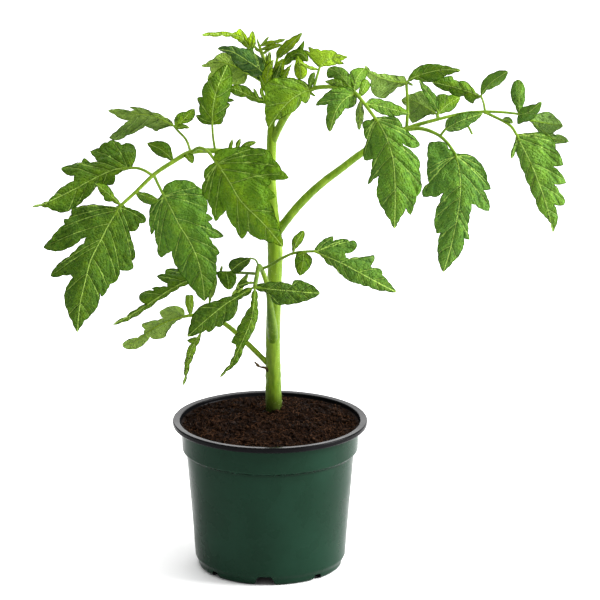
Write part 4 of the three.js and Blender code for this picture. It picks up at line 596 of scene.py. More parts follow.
# The lobed one at the end of the right side shoot
LEAF_FRONT.leaflet(
    rib=[[29.5, 206.5, 2], [40, 202, 0], [50, 197.5, -1], [60, 192, -1], [72, 185.5, 1],
         [84.3, 179.2, 4]],
    one=[[31, 210], [34, 213], [38, 215.5], [42, 216.5], [42, 213.5], [45, 214.3], [52, 214.5],
         [53, 213.3], [56, 213.8], [58, 211.5], [57, 208], [54, 205.5], [50, 205], [50.5, 202.5],
         [53, 201.5], [55, 202.5], [61, 202], [66, 203], [69.5, 204.2], [70, 202], [68.5, 199],
         [67, 196.5], [68, 195.3], [73, 195], [74.5, 193], [75, 190.5], [79, 186], [82, 182.5]],
    two=[[33, 204.5], [36, 201.5], [38, 198], [42, 196.7], [44, 194.5], [48, 190.5], [52, 187],
         [57, 185.3], [60, 184.7], [66, 183], [71, 180.8], [77, 180]],
    lean=(0.4, 0.1), tint=-0.4, bloom=0.35,
)

# The lowest leaf, behind the front one.
LEAF_LOW = Leaf("leaf_low", tint=0.75, bloom=0.5)
LEAF_LOW.shoot(
    [[1.5, 129, 20], [-4, 134.2, 20], [-15, 145, 21], [-30, 158, 23], [-42, 163.3, 24],
     [-52, 163.8, 24], [-58, 162.8, 24]],
    [1.9, 1.8, 1.4, 1],
)
LEAF_LOW.shoot([[-42, 163.3, 24], [-44, 157, 25], [-46.5, 151.5, 25]], [0.8, 0.7])
LEAF_LOW.leaflet(
    rib=[[-57, 163, 24], [-66, 160.5, 26], [-76, 156, 28], [-84, 150, 29], [-91, 145.5, 29],
         [-98.5, 144, 28]],
    one=[[-57, 167], [-60, 169.5], [-66, 170], [-71, 168], [-74, 166], [-73, 163.5], [-71.5, 162],
         [-75, 160.5], [-81, 159.5], [-85.5, 157.7], [-83.5, 154.5], [-84, 151.5], [-88, 149],
         [-92, 148.5], [-96, 147]],
    two=[[-62, 160], [-65, 157.5], [-69, 152.5], [-69.5, 149.5], [-74, 148], [-79, 148.3], [-80, 149.6],
         [-83, 145.5], [-87, 142.3], [-92, 141], [-97, 142]],
    lean=(0.5, 0.1), under=True,
)
LEAF_LOW.leaflet(
    rib=[[-46, 152, 25], [-50, 146, 25], [-53.5, 138, 24], [-55.5, 128, 23], [-57.9, 116.5, 22]],
    one=[[-48.5, 149], [-52, 148.8], [-55.3, 146.8], [-52.5, 145], [-55, 141.5], [-56, 136], [-57, 130],
         [-57.3, 127.5], [-56.7, 123]],
    two=[[-46, 149.5], [-49, 143], [-51, 137], [-53.5, 131], [-55.2, 124]],
    lean=(0.1, 0.3), root=0.7,
)
LEAF_LOW.leaflet(
    rib=[[-53, 163.5, 24], [-53.5, 170, 25], [-53.5, 177.4, 26]],
    one=[[-55.5, 168.5], [-56.5, 175], [-56, 177.3]],
    two=[[-51.3, 168], [-51, 174], [-51.5, 177.5]],
    root=0.7,
)

# The growing tip with its youngest leaves.
SHOOT_TIP = Leaf("shoot_tip", tint=0.8)
SHOOT_TIP.shoot(
    [[0.1, 303.35, 20], [-1, 318, 20], [-3, 331, 21], [-6, 340, 22], [-8, 346.3, 22]],
    [1.9, 1.7, 1.5, 1.2, 0.6],
)
SHOOT_TIP.shoot([[-1, 317, 20], [-6, 320, 22], [-10, 322.5, 23.5], [-15, 325, 24.5]], [1, 0.8])
SHOOT_TIP.shoot([[-3, 331, 21], [-9, 336.5, 24], [-13.5, 340.5, 25]], [1, 0.8])
SHOOT_TIP.shoot([[-1, 319, 20], [3, 328, 21], [5, 335.5, 21]], [1, 0.9])
SHOOT_TIP.shoot([[-0.5, 314, 20], [5, 324, 23], [9, 331.3, 25]], [1, 0.8])
# The dark one that curls over to the left
SHOOT_TIP.leaflet(
    rib=[[-2.5, 323.5, 21], [-9, 329.5, 18.5], [-16, 334, 17], [-25, 339.5, 17], [-35, 341.3, 19]],
    one=[[-3, 331], [-6, 335.5], [-11, 338], [-11.5, 342], [-14, 340.7], [-20, 342], [-28, 343.3],
         [-33, 343]],
    two=[[-4, 321], [-6.5, 320.4], [-9, 322.5], [-14.3, 325.3], [-20, 328], [-24, 332], [-26, 336.5],
         [-29.5, 339]],
    lean=(0.2, 0.25), tint=-1.5, bloom=0.7,
)
SHOOT_TIP.leaflet(
    rib=[[-15, 325, 24.5], [-24, 330, 23], [-34, 333, 21], [-46, 330, 19]],
    one=[[-19, 329.5], [-24, 334], [-29, 339], [-33, 338.7], [-38, 334.7], [-43, 331.7]],
    two=[[-17, 318], [-25, 317.5], [-32, 321], [-38, 321.5], [-41.5, 320], [-41.5, 322.5], [-39.5, 326],
         [-40, 329.3]],
    lean=(0.1, 0.1), tint=0.4, under=True,
)
SHOOT_TIP.leaflet(
    rib=[[-0.3, 305.5, 19.5], [-12, 309.5, 17], [-20, 313.3, 15], [-27.5, 316, 14]],
    one=[[-8, 309.8], [-12, 313], [-15, 316], [-20, 317.2], [-25, 317]],
    two=[[-6, 305.2], [-9.5, 306], [-14, 307.5], [-16, 309.2], [-21, 309.6], [-25.5, 312]],
    lean=(0.1, 0.1), root=0.8, tint=-1.0,
)
SHOOT_TIP.leaflet(
    rib=[[-7, 307, 18], [-9.5, 311, 16], [-11, 315.5, 15]],
    one=[[-9.8, 310]],
    two=[[-8.5, 312]],
    root=0.6, tint=-1.0,
)
SHOOT_TIP.leaflet(
    rib=[[-3, 306, 18.6], [-5.5, 311, 17], [-6, 315.7, 16]],
    one=[[-5.8, 309.5], [-6.9, 314]],
    two=[[-4, 311.5]],
    root=0.6, tint=-0.9,
)
# The bright one at the very top, with a long thin point
SHOOT_TIP.leaflet(
    rib=[[-13.5, 340, 25], [-16, 346, 24], [-21, 350, 22], [-32, 351.3, 19], [-46, 350.5, 16]],
    one=[[-10, 343], [-9.8, 350], [-11, 353], [-14, 349.3], [-15, 348.8], [-17, 352], [-20, 354.8],
         [-22.5, 353], [-25, 352], [-36, 352.4]],
    two=[[-15.5, 342], [-19, 345], [-22, 347.5], [-26, 349.6], [-32, 350.2], [-40, 349.9]],
    lean=(0.1, 0.1), root=0.8, tint=0.9,
)
SHOOT_TIP.leaflet(
    rib=[[-6.8, 342.5, 22], [-4, 345.5, 21], [-0.5, 349.8, 20]],
    one=[[-4.6, 346.2]],
    two=[[-3.4, 345]],
    root=0.6,
)
SHOOT_TIP.leaflet(
    rib=[[-7, 343.5, 22], [1, 345.3, 20], [10.7, 347.8, 17]],
    one=[[-3, 346], [3, 347]],
    two=[[-3, 343.3], [4, 345]],
    root=0.6, tint=0.6,
)
SHOOT_TIP.leaflet(
    rib=[[-6.5, 341, 22], [0, 342.5, 20], [8, 344.5, 18.5]],
    one=[[-2, 343.4], [3, 344.6]],
    two=[[-1, 341], [3.5, 341.8], [7, 343.3]],
    root=0.6, tint=0.4,
)
SHOOT_TIP.leaflet(
    rib=[[4.5, 334.5, 21], [11, 342, 18], [21.5, 352, 15]],
    one=[[4, 339], [8, 344], [13, 348], [18, 350.7]],
    two=[[9, 337], [13, 340], [17, 344.5], [20.3, 349]],
    root=0.8, tint=0.2,
)
SHOOT_TIP.leaflet(
    rib=[[8.5, 330.5, 25], [14, 336.5, 24], [20, 338.5, 23], [25.7, 333, 22]],
    one=[[9.5, 335.5], [13.5, 339.7], [19.5, 341.3], [22.5, 347], [22.3, 341], [24.5, 338.5]],
    two=[[12, 331], [15, 333.5], [19, 334.5], [23, 333]],
    lean=(0.15, 0.1), root=0.8, tint=-1.1,
)
SHOOT_TIP.leaflet(
    rib=[[18.5, 336.5, 23], [20, 328, 21], [21, 321, 20]],
    one=[[16.7, 332], [16.2, 326], [18, 321.7]],
    two=[[22.5, 332.5], [24.7, 328], [24.3, 323.5]],
    root=0.7, tint=0.6,
)
SHOOT_TIP.leaflet(
    stalk=[[-0.9, 315.5, 20]],
    rib=[[0.8, 317.5, 19], [5, 327, 15], [9, 335, 14]],
    one=[[0.8, 322], [2.2, 329], [6, 333.5]],
    two=[[5, 320], [8.5, 326], [9.8, 331.5]],
    lean=(0.1, 0.1), root=0.8, tint=-0.1,
)
SHOOT_TIP.leaflet(
    rib=[[-1.2, 318, 19.5], [-0.8, 328, 16.5], [-0.5, 339.7, 16]],
    one=[[-3.3, 323], [-3.3, 329], [-1.6, 335]],
    two=[[0.7, 321], [1.3, 329], [0.5, 335]],
    lean=(0.1, 0.1), root=0.8,
)


# Curves and meshes

FAR = 9.0  # stands for a place that no vein or edge is near
NONE_NEAR = 99.0  # the distance where there is nothing to be near
UPPER, UNDER, SHOOT, HAIR = range(4)  # the green looks, in the order of GREEN
HAIR_WIDTH = 0.05
HAIR_LENGTHS = (0.5, 0.7, 0.9, 1.4)


def spline(places, steps):
    """A centripetal curve through the places."""
    p = np.asarray(places, float)
    p = np.vstack([2 * p[0] - p[1], p, 2 * p[-1] - p[-2]])
    out = []
    last = len(p) - 3
    for t in np.linspace(0, last, steps + 1):
        i = min(int(t), last - 1)
        w = t - i
        a, b, c, d = p[i : i + 4]
        ab, bc, cd = (max(np.linalg.norm(n - m), 1e-4) ** 0.5 for m, n in ((a, b), (b, c), (c, d)))
        m1 = ((b - a) / ab - (c - a) / (ab + bc) + (c - b) / bc) * bc
        m2 = ((c - b) / bc - (d - b) / (bc + cd) + (d - c) / cd) * bc
        out.append(b + m1 * w + (3 * (c - b) - 2 * m1 - m2) * w**2 + (2 * (b - c) + m1 + m2) * w**3)
    return np.array(out)


def drawn_out(values, steps):
    """A smooth run of numbers through the values."""
    return spline([(v, 0, 0) for v in values], steps)[:, 0]


def arc(start, bend, end, count):
    """So many points of a curve from the start to the end that bends towards a third point."""
    w = np.linspace(0, 1, count)[:, None]
    return (1 - w) ** 2 * start + 2 * w * (1 - w) * bend + w**2 * end


def bumps(places, size, seed):
    """Smooth noise between about -1 and 1 at places in millimetres, with features of that size."""
    shift = Vector((seed * 17.3, seed * 5.1, seed * 9.7))
    return np.array([noise.noise(Vector(p) / size + shift) for p in places]) * 2


class Piece:
    """Gathers the vertices, faces and leaf measures of one piece, in millimetres."""

    MEASURES = {"rib": FAR, "vein": FAR, "edge": FAR, "tint": 0.0, "bloom": 0.0}

    def __init__(self, name, node, slot, materials):
        self.name, self.node, self.slot, self.materials = name, node, slot, materials
        self.verts, self.faces, self.looks = [], [], []
        self.measures = {m: [] for m in self.MEASURES}
        self.count = 0

    def add(self, verts, faces, look, **measures):
        """Adds a part of the piece. The look is one for all its faces, or a list with one for each."""
        self.verts.append(np.asarray(verts, float))
        self.faces += [tuple(i + self.count for i in f) for f in faces]
        self.looks += look if isinstance(look, list) else [look] * len(faces)
        for m, usual in self.MEASURES.items():
            self.measures[m].append(np.broadcast_to(measures.get(m, usual), (len(verts),)))
        self.count += len(verts)

    def make(self, smooth=True, sharp=None):
        """Builds the object. Edges over that many degrees are sharp."""
        mesh = bpy.data.meshes.new(self.name)
        mesh.from_pydata((np.vstack(self.verts) * MM).tolist(), [], self.faces)
        for m in self.MEASURES:
            layer = mesh.attributes.new(m, "FLOAT", "POINT")
            layer.data.foreach_set("value", np.concatenate(self.measures[m]).astype(np.float32))
        for material in self.materials:
            mesh.materials.append(material)
        mesh.polygons.foreach_set("material_index", self.looks)
        mesh.polygons.foreach_set("use_smooth", [smooth] * len(self.faces))
        if sharp:
            mesh.set_sharp_from_angle(angle=math.radians(sharp))
        mesh.update()
        obj = bpy.data.objects.new(self.name, mesh)
        bpy.context.collection.objects.link(obj)
        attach(obj, "root")
        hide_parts(self.node)


def frames(line):
    """Two directions across each place of a line, turning as little as they can along it."""
    ahead = np.gradient(line, axis=0)
    ahead /= np.linalg.norm(ahead, axis=1)[:, None]
    side = np.cross(ahead[0], [0.3, 0.9, 0.1])
    sides = []
    for a in ahead:
        side = side - a * side.dot(a)
        side = side / np.linalg.norm(side)
        sides.append(side)
    sides = np.array(sides)
    return sides, np.cross(ahead, sides)


def stand_hairs(piece, line, radii, hairs, tint, seed):
    """Standing hairs along a shoot, so many for each millimetre. Each is a slim spike."""
    one, two = frames(line)
    draw = random.Random(seed)
    verts, spikes = [], []
    length = np.linalg.norm(np.diff(line, axis=0), axis=1).sum()
    for _ in range(int(hairs * length)):
        at = draw.uniform(0.02, 0.98) * (len(line) - 1)
        i, w = int(at), at % 1
        turn = draw.uniform(0, 2 * math.pi)
        centre = line[i] * (1 - w) + line[i + 1] * w
        out = one[i] * math.cos(turn) + two[i] * math.sin(turn)
        radius = radii[i] * (1 - w) + radii[i + 1] * w
        along = line[i + 1] - line[i]
        along = along / np.linalg.norm(along)
        across = np.cross(out, along)
        root = centre + out * radius * 0.97
        lean = out + along * draw.uniform(-0.3, 0.5) + across * draw.uniform(-0.4, 0.4)
        tip = root + lean * draw.choice(HAIR_LENGTHS) * min(1, 0.5 + radius / 3)
        ahead, aside = along * HAIR_WIDTH, across * HAIR_WIDTH
        k = len(verts)
        verts += [root + ahead, root - ahead + aside, root - aside, tip]
        spikes += [(k, k + 1, k + 3), (k + 1, k + 2, k + 3), (k + 2, k, k + 3)]
    piece.add(verts, spikes, HAIR, tint=tint)


def tube(piece, line, radii, sides, look, tint, rough, hairs, seed):
    """A round shoot along true places, with blunt ends and so many standing hairs for each millimetre."""
    one, two = frames(line)
    turns = np.linspace(0, 2 * math.pi, sides, endpoint=False)
    ring = one[:, None] * np.cos(turns)[None, :, None] + two[:, None] * np.sin(turns)[None, :, None]
    surface = line[:, None] + ring * radii[:, None, None]
    flat = surface.reshape(-1, 3)
    wave = 1 + rough * bumps(flat, 3.0, seed)
    centres = np.repeat(line, sides, 0)
    flat = centres + (flat - centres) * wave[:, None]
    steps = len(line) - 1
    faces = []
    for i in range(steps):
        for k in range(sides):
            a, b = i * sides + k, i * sides + (k + 1) % sides
            faces.append((a, b, b + sides, a + sides))
    start, end = len(flat), len(flat) + 1
    for k in range(sides):
        faces.append((start, (k + 1) % sides, k))
        faces.append((end, steps * sides + k, steps * sides + (k + 1) % sides))
    tint = np.broadcast_to(tint, len(line))
    tints = np.concatenate([np.repeat(tint, sides), tint[[0, -1]]])
    piece.add(np.vstack([flat, line[[0, -1]]]), faces, look, tint=tints)
    if hairs:
        stand_hairs(piece, line, radii, hairs, tint.mean(), seed)


# Leaflets

RIB_STEPS = 36
SPACING, FINE_SPACING = 0.85, 0.7  # between the points of a blade, and of a short one
SHORT = 25
ROW = 0.87  # from one row of points to the next, in spacings
UNEVEN = 0.15  # how far a point may lie from its place in the row, in spacings
THICK = 0.34
THIN_EDGE = 0.35  # the share of the thickness that the edge has
EDGE_STEP, EDGE_ROUGH = 0.9, 0.1
SWELL, MOST_SWELL = 0.09, 0.9  # of the edge between a tip and a notch
VEINED_LENGTH, VEIN_STEP = 14, 10.5  # a shorter leaflet has no side veins
LOBE_REACH = 0.3  # how far out a lobe stands, as a share of the furthest
VEIN_POINTS, VEIN_BOW = 9, 0.1
VEIN_END, FORK_END = 0.9, 0.85  # how far towards the edge they go
FORKED_REACH = 9  # a shorter side vein has no forks
FORK_FAINT = 0.18  # how much thinner the forks of the side veins are
FULL_LENGTH = 45  # a shorter leaflet has a flatter relief
SINK, SINK_REACH = 0.95, 1.9  # how deep the veins lie, and how far from a vein the blade rises
QUILT, QUILT_SIZE = 0.26, 3.0  # height and size of the swellings between the veins
FINE_QUILT, FINE_QUILT_SIZE = 0.13, 1.4
CURL, CURL_REACH = 0.7, 1.3  # how far the edge bends down
WAVE, WAVE_SIZE = 1.5, 9.0  # height and size of the blade's waves
WAVE_REACH = 12  # from here to the edge the waves are full


def gaps(points, starts, ends):
    """Distance of each point to the nearest of some segments, in the plane."""
    if len(starts) == 0:
        return np.full(len(points), NONE_NEAR)
    along = ends - starts
    square = np.maximum((along**2).sum(1), 1e-9)
    least = np.full(len(points), 1e9)
    for s, d, q in zip(starts, along, square):
        w = np.clip(((points - s) @ d) / q, 0, 1)
        least = np.minimum(least, ((points - s - w[:, None] * d) ** 2).sum(1))
    return np.sqrt(least)


def inside(points, ring):
    """Which of the points lie inside the ring, in the plane."""
    x, y = points.T
    odd = np.zeros(len(points), bool)
    for (ax, ay), (bx, by) in zip(ring, np.roll(ring, -1, 0)):
        if ay != by:
            odd ^= ((ay > y) != (by > y)) & (x < (bx - ax) * (y - ay) / (by - ay) + ax)
    return odd


def cut_edge(path, outward, draw):
    """The edge of a blade between its tips and notches: each stretch swells a little."""
    out = [path[0]]
    for a, b in zip(path[:-1], path[1:]):
        length = np.linalg.norm(b - a)
        steps = max(2, int(length / EDGE_STEP))
        across = np.array([b[1] - a[1], a[0] - b[0]]) / max(length, 1e-6) * outward
        swell = min(SWELL * length, MOST_SWELL)
        for i in range(1, steps + 1):
            w = i / steps
            rough = draw.uniform(-EDGE_ROUGH, EDGE_ROUGH) if i < steps else 0
            out.append(a + (b - a) * w + across * (swell * math.sin(math.pi * w) + rough))
    return np.array(out)


def side_veins(rib, edge, count):
    """The veins of one side, from the midrib to the lobes, and their thinner forks."""
    flat = rib[:, :2]
    stretches = np.linalg.norm(np.diff(flat, axis=0), axis=1)
    feet = np.array([np.argmin(((flat - e) ** 2).sum(1)) for e in edge])
    reach = np.array([np.linalg.norm(flat[f] - e) for f, e in zip(feet, edge)])
    most = reach.max()
    lobes = [
        i
        for i in range(3, len(edge) - 3)
        if reach[i] >= reach[max(0, i - 5) : i + 6].max() and reach[i] > LOBE_REACH * most
    ]
    veins, forks = [], []
    last = len(rib) - 1
    for n in range(count):
        # to a lobe near the vein's share of the midrib, or else to the edge there
        share = (n + 0.75) / (count + 0.6)
        near = [i for i in lobes if abs(feet[i] / last - share) < 0.55 / count]
        if near:
            i = max(near, key=lambda k: reach[k])
            lobes.remove(i)
        else:
            i = int(np.argmin(np.abs(feet / last - share) + 0.002 * np.abs(reach - most)))

        # from further back on the midrib, so that it slants towards the tip
        back = min(1.1 * reach[i], 0.3 * stretches.sum())
        foot = feet[i]
        while foot > 1 and back > 0:
            foot -= 1
            back -= stretches[foot]
        start, end = flat[foot], flat[foot] + (edge[i] - flat[foot]) * VEIN_END
        ahead = flat[min(foot + 1, last)] - flat[max(foot - 1, 0)]
        ahead = ahead / max(np.linalg.norm(ahead), 1e-6)
        bend = (start + end) / 2 - ahead * VEIN_BOW * np.linalg.norm(end - start)
        vein = arc(start, bend, end, VEIN_POINTS)
        veins.append(vein)

        # a long one forks halfway, to both sides
        if reach[i] < FORKED_REACH:
            continue
        fork_at = vein[4]
        for k in (-1, 1):
            to = int(np.clip(i + k * round(0.4 * reach[i]), 1, len(edge) - 2))
            tip = fork_at + (edge[to] - fork_at) * FORK_END
            bow = (fork_at + tip) / 2 + (vein[6] - fork_at) * 0.25
            forks.append(arc(fork_at, bow, tip, VEIN_POINTS))
    return veins, forks


def scatter(ring, spacing, draw):
    """An uneven triangular grid of points over the box of a ring."""
    low, high = ring.min(0), ring.max(0)
    points = []
    for j in range(int((high[1] - low[1]) / (spacing * ROW)) + 1):
        for i in range(int((high[0] - low[0]) / spacing) + 1):
            x = low[0] + (i + 0.5 * (j % 2) + draw.uniform(-UNEVEN, UNEVEN)) * spacing
            y = low[1] + (j * ROW + draw.uniform(-UNEVEN, UNEVEN)) * spacing
            points.append((x, y))
    return np.array(points)


def half_blade(rib, edge, lean, length, draw):
    """One side of a blade as it is seen, between the midrib and the edge.

    Each row of its points holds x, v and y, and the distances to the midrib, the edge and a vein.
    """
    flat = rib[:, :2]
    path = np.array([flat[0], *edge, flat[-1]])
    x, y = np.vstack([path, flat[-2:0:-1]]).T
    turn = np.sum(x * np.roll(y, -1) - np.roll(x, -1) * y)
    fine = cut_edge(path, 1 if turn > 0 else -1, draw)
    ring = np.vstack([fine, flat[-2:0:-1]])
    wide = gaps(fine, flat[:-1], flat[1:]).max()
    veins, forks = [], []
    if length > VEINED_LENGTH:
        veins, forks = side_veins(rib, fine, max(2, round(length / VEIN_STEP)))
    starts = np.vstack([np.zeros((0, 2)), *[v[:-1] for v in veins]])
    ends = np.vstack([np.zeros((0, 2)), *[v[1:] for v in veins]])

    spacing = SPACING if length > SHORT else FINE_SPACING
    grid = scatter(ring, spacing, draw)
    grid = grid[inside(grid, ring)]
    grid = grid[gaps(grid, ring, np.roll(ring, -1, 0)) > 0.5 * spacing]
    grid = grid[gaps(grid, starts, ends) > 0.4 * spacing]

    points = [Vector(p) for p in ring]
    edges = [(i, (i + 1) % len(ring)) for i in range(len(ring))]
    for vein in veins:
        k = len(points)
        points += [Vector(p) for p in vein]
        edges += [(k + i, k + i + 1) for i in range(len(vein) - 1)]
    points += [Vector(p) for p in grid]
    got, _, triangles, *_ = delaunay_2d_cdt(points, edges, [], 1, 1e-5)
    got = np.array([tuple(p) for p in got])

    to_rib = gaps(got, flat[:-1], flat[1:])
    to_edge = gaps(got, fine[:-1], fine[1:])
    to_vein = gaps(got, starts, ends)
    for fork in forks:
        to_vein = np.minimum(to_vein, gaps(got, fork[:-1], fork[1:]) + FORK_FAINT)
    weight = 1 / (((got[:, None] - flat[None]) ** 2).sum(2) + 0.3) ** 2
    along = (weight * rib[None, :, 2]).sum(1) / weight.sum(1)
    depth = along + lean * to_rib * (0.7 + 0.3 * to_rib / max(wide, 1))
    return np.column_stack([got, depth, to_rib, to_edge, to_vein]), triangles


def joined(halves):
    """The points and faces of both sides of a blade, which share the points on the midrib."""
    rows, faces, found = [], [], {}
    for side, (points, triangles) in enumerate(halves):
        index = []
        for k, (x, v, y, to_rib, to_edge, to_vein) in enumerate(points):
            on_rib = to_rib < 1e-3
            key = (round(x, 3), round(v, 3)) if on_rib else (side, k)
            if key not in found:
                found[key] = len(rows)
                rows.append((x, v, y, to_rib, FAR if on_rib else to_edge, to_vein))
            index.append(found[key])
        faces += [[index[k] for k in t] for t in triangles]
    rows = np.array(rows)
    faces = np.array([t for t in faces if len(set(t)) == 3])
    a, b, c = (rows[faces[:, k]] for k in range(3))
    cross = (b[:, 0] - a[:, 0]) * (c[:, 1] - a[:, 1]) - (b[:, 1] - a[:, 1]) * (c[:, 0] - a[:, 0])
    faces[cross < 0] = faces[cross < 0][:, ::-1]
    return rows, faces[np.abs(cross) > 1e-5]


def normals(points, faces):
    """The direction that the surface faces at each point."""
    a, b, c = (points[faces[:, k]] for k in range(3))
    face = np.cross(b - a, c - a)
    out = np.zeros_like(points)
    for k in range(3):
        np.add.at(out, faces[:, k], face)
    return out / np.maximum(np.linalg.norm(out, axis=1), 1e-9)[:, None]


def open_edges(faces):
    """The edges that only one face has."""
    edges = dict.fromkeys((t[k], t[(k + 1) % 3]) for t in faces for k in range(3))
    return [(a, b) for a, b in edges if (b, a) not in edges]


def blade(piece, leaflet, tint, seed):
    """The blade of a leaflet, with sunken veins, quilting and waves.

    Returns the midrib, the direction that the blade's underside faces, and the midrib's length.
    """
    draw = random.Random(seed)
    rib = spline(leaflet["rib"], RIB_STEPS)
    length = np.linalg.norm(np.diff(rib[:, :2], axis=0), axis=1).sum()
    sides = zip((leaflet["one"], leaflet["two"]), leaflet["lean"])
    rows, faces = joined([half_blade(rib, edge, lean, length, draw) for edge, lean in sides])
    true = seen(rows[:, :3])
    rib_gap, edge_gap, vein_gap = rows[:, 3:].T

    under = leaflet["under"]
    size = min(1.0, length / FULL_LENGTH)
    lie = normals(true, faces).mean(0)
    lie /= np.linalg.norm(lie)
    veined = np.minimum(rib_gap, vein_gap)
    relief = SINK * size * (1 - np.exp(-((veined / SINK_REACH) ** 2)))
    relief += (
        QUILT * size * bumps(true, QUILT_SIZE, seed)
        + FINE_QUILT * size * bumps(true, FINE_QUILT_SIZE, seed + 1)
    )
    relief -= CURL * size * np.exp(-edge_gap / CURL_REACH)
    relief += WAVE * size * np.minimum(rib_gap / WAVE_REACH, 1) * bumps(true, WAVE_SIZE, seed + 3)
    true = true + lie * (relief * (-1 if under else 1))[:, None]

    half = THICK / 2 * np.clip(THIN_EDGE + edge_gap, THIN_EDGE, 1)[:, None]
    normal = normals(true, faces)
    front, back = true + normal * half, true - normal * half
    rims = open_edges(faces.tolist())
    count = len(true)
    skins = [tuple(t) for t in faces]
    skins += [tuple(count + i for i in t[::-1]) for t in faces]
    skins += [(q, p, p + count, q + count) for p, q in rims]
    looks = [UNDER if under else UPPER] * len(faces) + [UPPER if under else UNDER] * len(faces)
    looks += [UPPER] * len(rims)
    finer = leaflet["veins"] / max(size, 0.5)  # a small leaflet has thinner veins
    piece.add(
        np.vstack([front, back]),
        skins,
        looks,
        rib=np.tile(rib_gap, 2) * finer,
        vein=np.tile(vein_gap, 2) * finer,
        edge=np.tile(edge_gap, 2),
        bloom=leaflet["bloom"],
        tint=tint + draw.uniform(-0.12, 0.12),
    )
    return rib, lie * (1 if under else -1), length


SHOOT_STEP, SHOOT_SIDES, SHOOT_HAIRS = 1.6, 14, 3.0
SHOOT_ROUGH = 0.03
RIB_SIDES, RIB_HAIRS, FEW_HAIRS = 8, 1.0, 0.4
RIB_END = 0.92  # how far up the blade the raised midrib goes
RIB_TIP = 0.16  # its radius there
RIB_TAPER = 0.75


def frond(piece, leaf, seed):
    """The shoots of a leaf, and its leaflets with their stalks and raised midribs."""
    for n, (route, radii, tints) in enumerate(leaf.shoots):
        route = seen(route)
        span = np.linalg.norm(np.diff(route, axis=0), axis=1).sum()
        steps = max(8, int(span / SHOOT_STEP))
        tube(
            piece,
            spline(route, steps),
            drawn_out(radii, steps),
            sides=SHOOT_SIDES,
            look=SHOOT,
            tint=leaf.tint + drawn_out(tints, steps),
            rough=SHOOT_ROUGH,
            hairs=SHOOT_HAIRS,
            seed=seed + n,
        )
    for n, leaflet in enumerate(leaf.leaflets):
        rib, below, length = blade(piece, leaflet, leaf.tint + leaflet["tint"], seed * 40 + n)
        over = seen(rib[: int(len(rib) * RIB_END) + 1])
        lead = seen(leaflet["stalk"])
        root = leaflet["root"]
        w = np.linspace(0, 1, len(over))
        taper = root * RIB_TAPER * (1 - w) ** 1.3 + RIB_TIP
        over += below * (taper * np.minimum(1, w * 8) * 0.95)[:, None]
        if len(lead):
            lead = spline(np.vstack([lead, over[:1]]), 4 * len(lead))[:-1]
        stalk = np.linspace(root, root * RIB_TAPER + RIB_TIP, len(lead) + 1)[:-1]
        tube(
            piece,
            np.vstack([lead, over]),
            np.concatenate([stalk, taper]),
            sides=RIB_SIDES,
            look=SHOOT,
            tint=leaf.tint,
            rough=SHOOT_ROUGH,
            hairs=RIB_HAIRS if length > VEINED_LENGTH else FEW_HAIRS,
            seed=seed * 50 + n,
        )


def slender(leaf, rib, width, tint):
    """Adds a small pointed leaflet with no lobes."""
    line = spline(rib, 6)
    ahead = np.gradient(line[:, :2], axis=0)
    across = np.column_stack([ahead[:, 1], -ahead[:, 0]]) / np.linalg.norm(ahead, axis=1)[:, None]
    half = across * (width * np.array([0, 0.7, 1, 0.9, 0.6, 0.28, 0]))[:, None]
    one, two = line[1:-1, :2] + half[1:-1], line[1:-1, :2] - half[1:-1]
    leaf.leaflet(rib=rib, one=one.tolist(), two=two.tolist(), root=0.5, tint=tint)


# The youngest leaves, crowded round the growing tip
for rib, width, tint in (
    ([[-2, 317, 17], [-1.8, 324, 15], [0, 330, 14], [2.5, 334.5, 14]], 3.4, 0.3),
    ([[2, 318.5, 16], [4.8, 325, 13.5], [7.6, 332.5, 12.5]], 2.3, -1.8),
    ([[6, 319, 19], [10, 325, 18], [14.5, 331.5, 18]], 2.6, 0.5),
    ([[-1, 312, 18], [-4, 318, 16.5], [-7, 324, 16]], 2.8, -0.7),
    ([[-3.4, 330, 20], [-4.6, 334.3, 19], [-5.6, 337.6, 18.5]], 0.8, -1.8),
    ([[-2, 332, 19], [-2.3, 336, 18], [-2.5, 339.2, 18]], 0.8, -1.8),
    ([[0, 332.5, 19], [0.2, 336.5, 18], [0.5, 339.6, 18]], 0.7, -1.4),
    ([[-7.6, 343.5, 22], [-8.2, 346.5, 21], [-8.8, 349.5, 20]], 0.6, -1.0),
    ([[-6.5, 339, 22], [-9.5, 342, 21.5], [-11, 345.5, 21]], 1.0, 0.8),
    ([[-5.5, 337.5, 21.6], [-2, 340, 21], [2, 341.3, 20]], 0.9, 0.8),
):
    slender(SHOOT_TIP, rib, width, tint)


# Materials


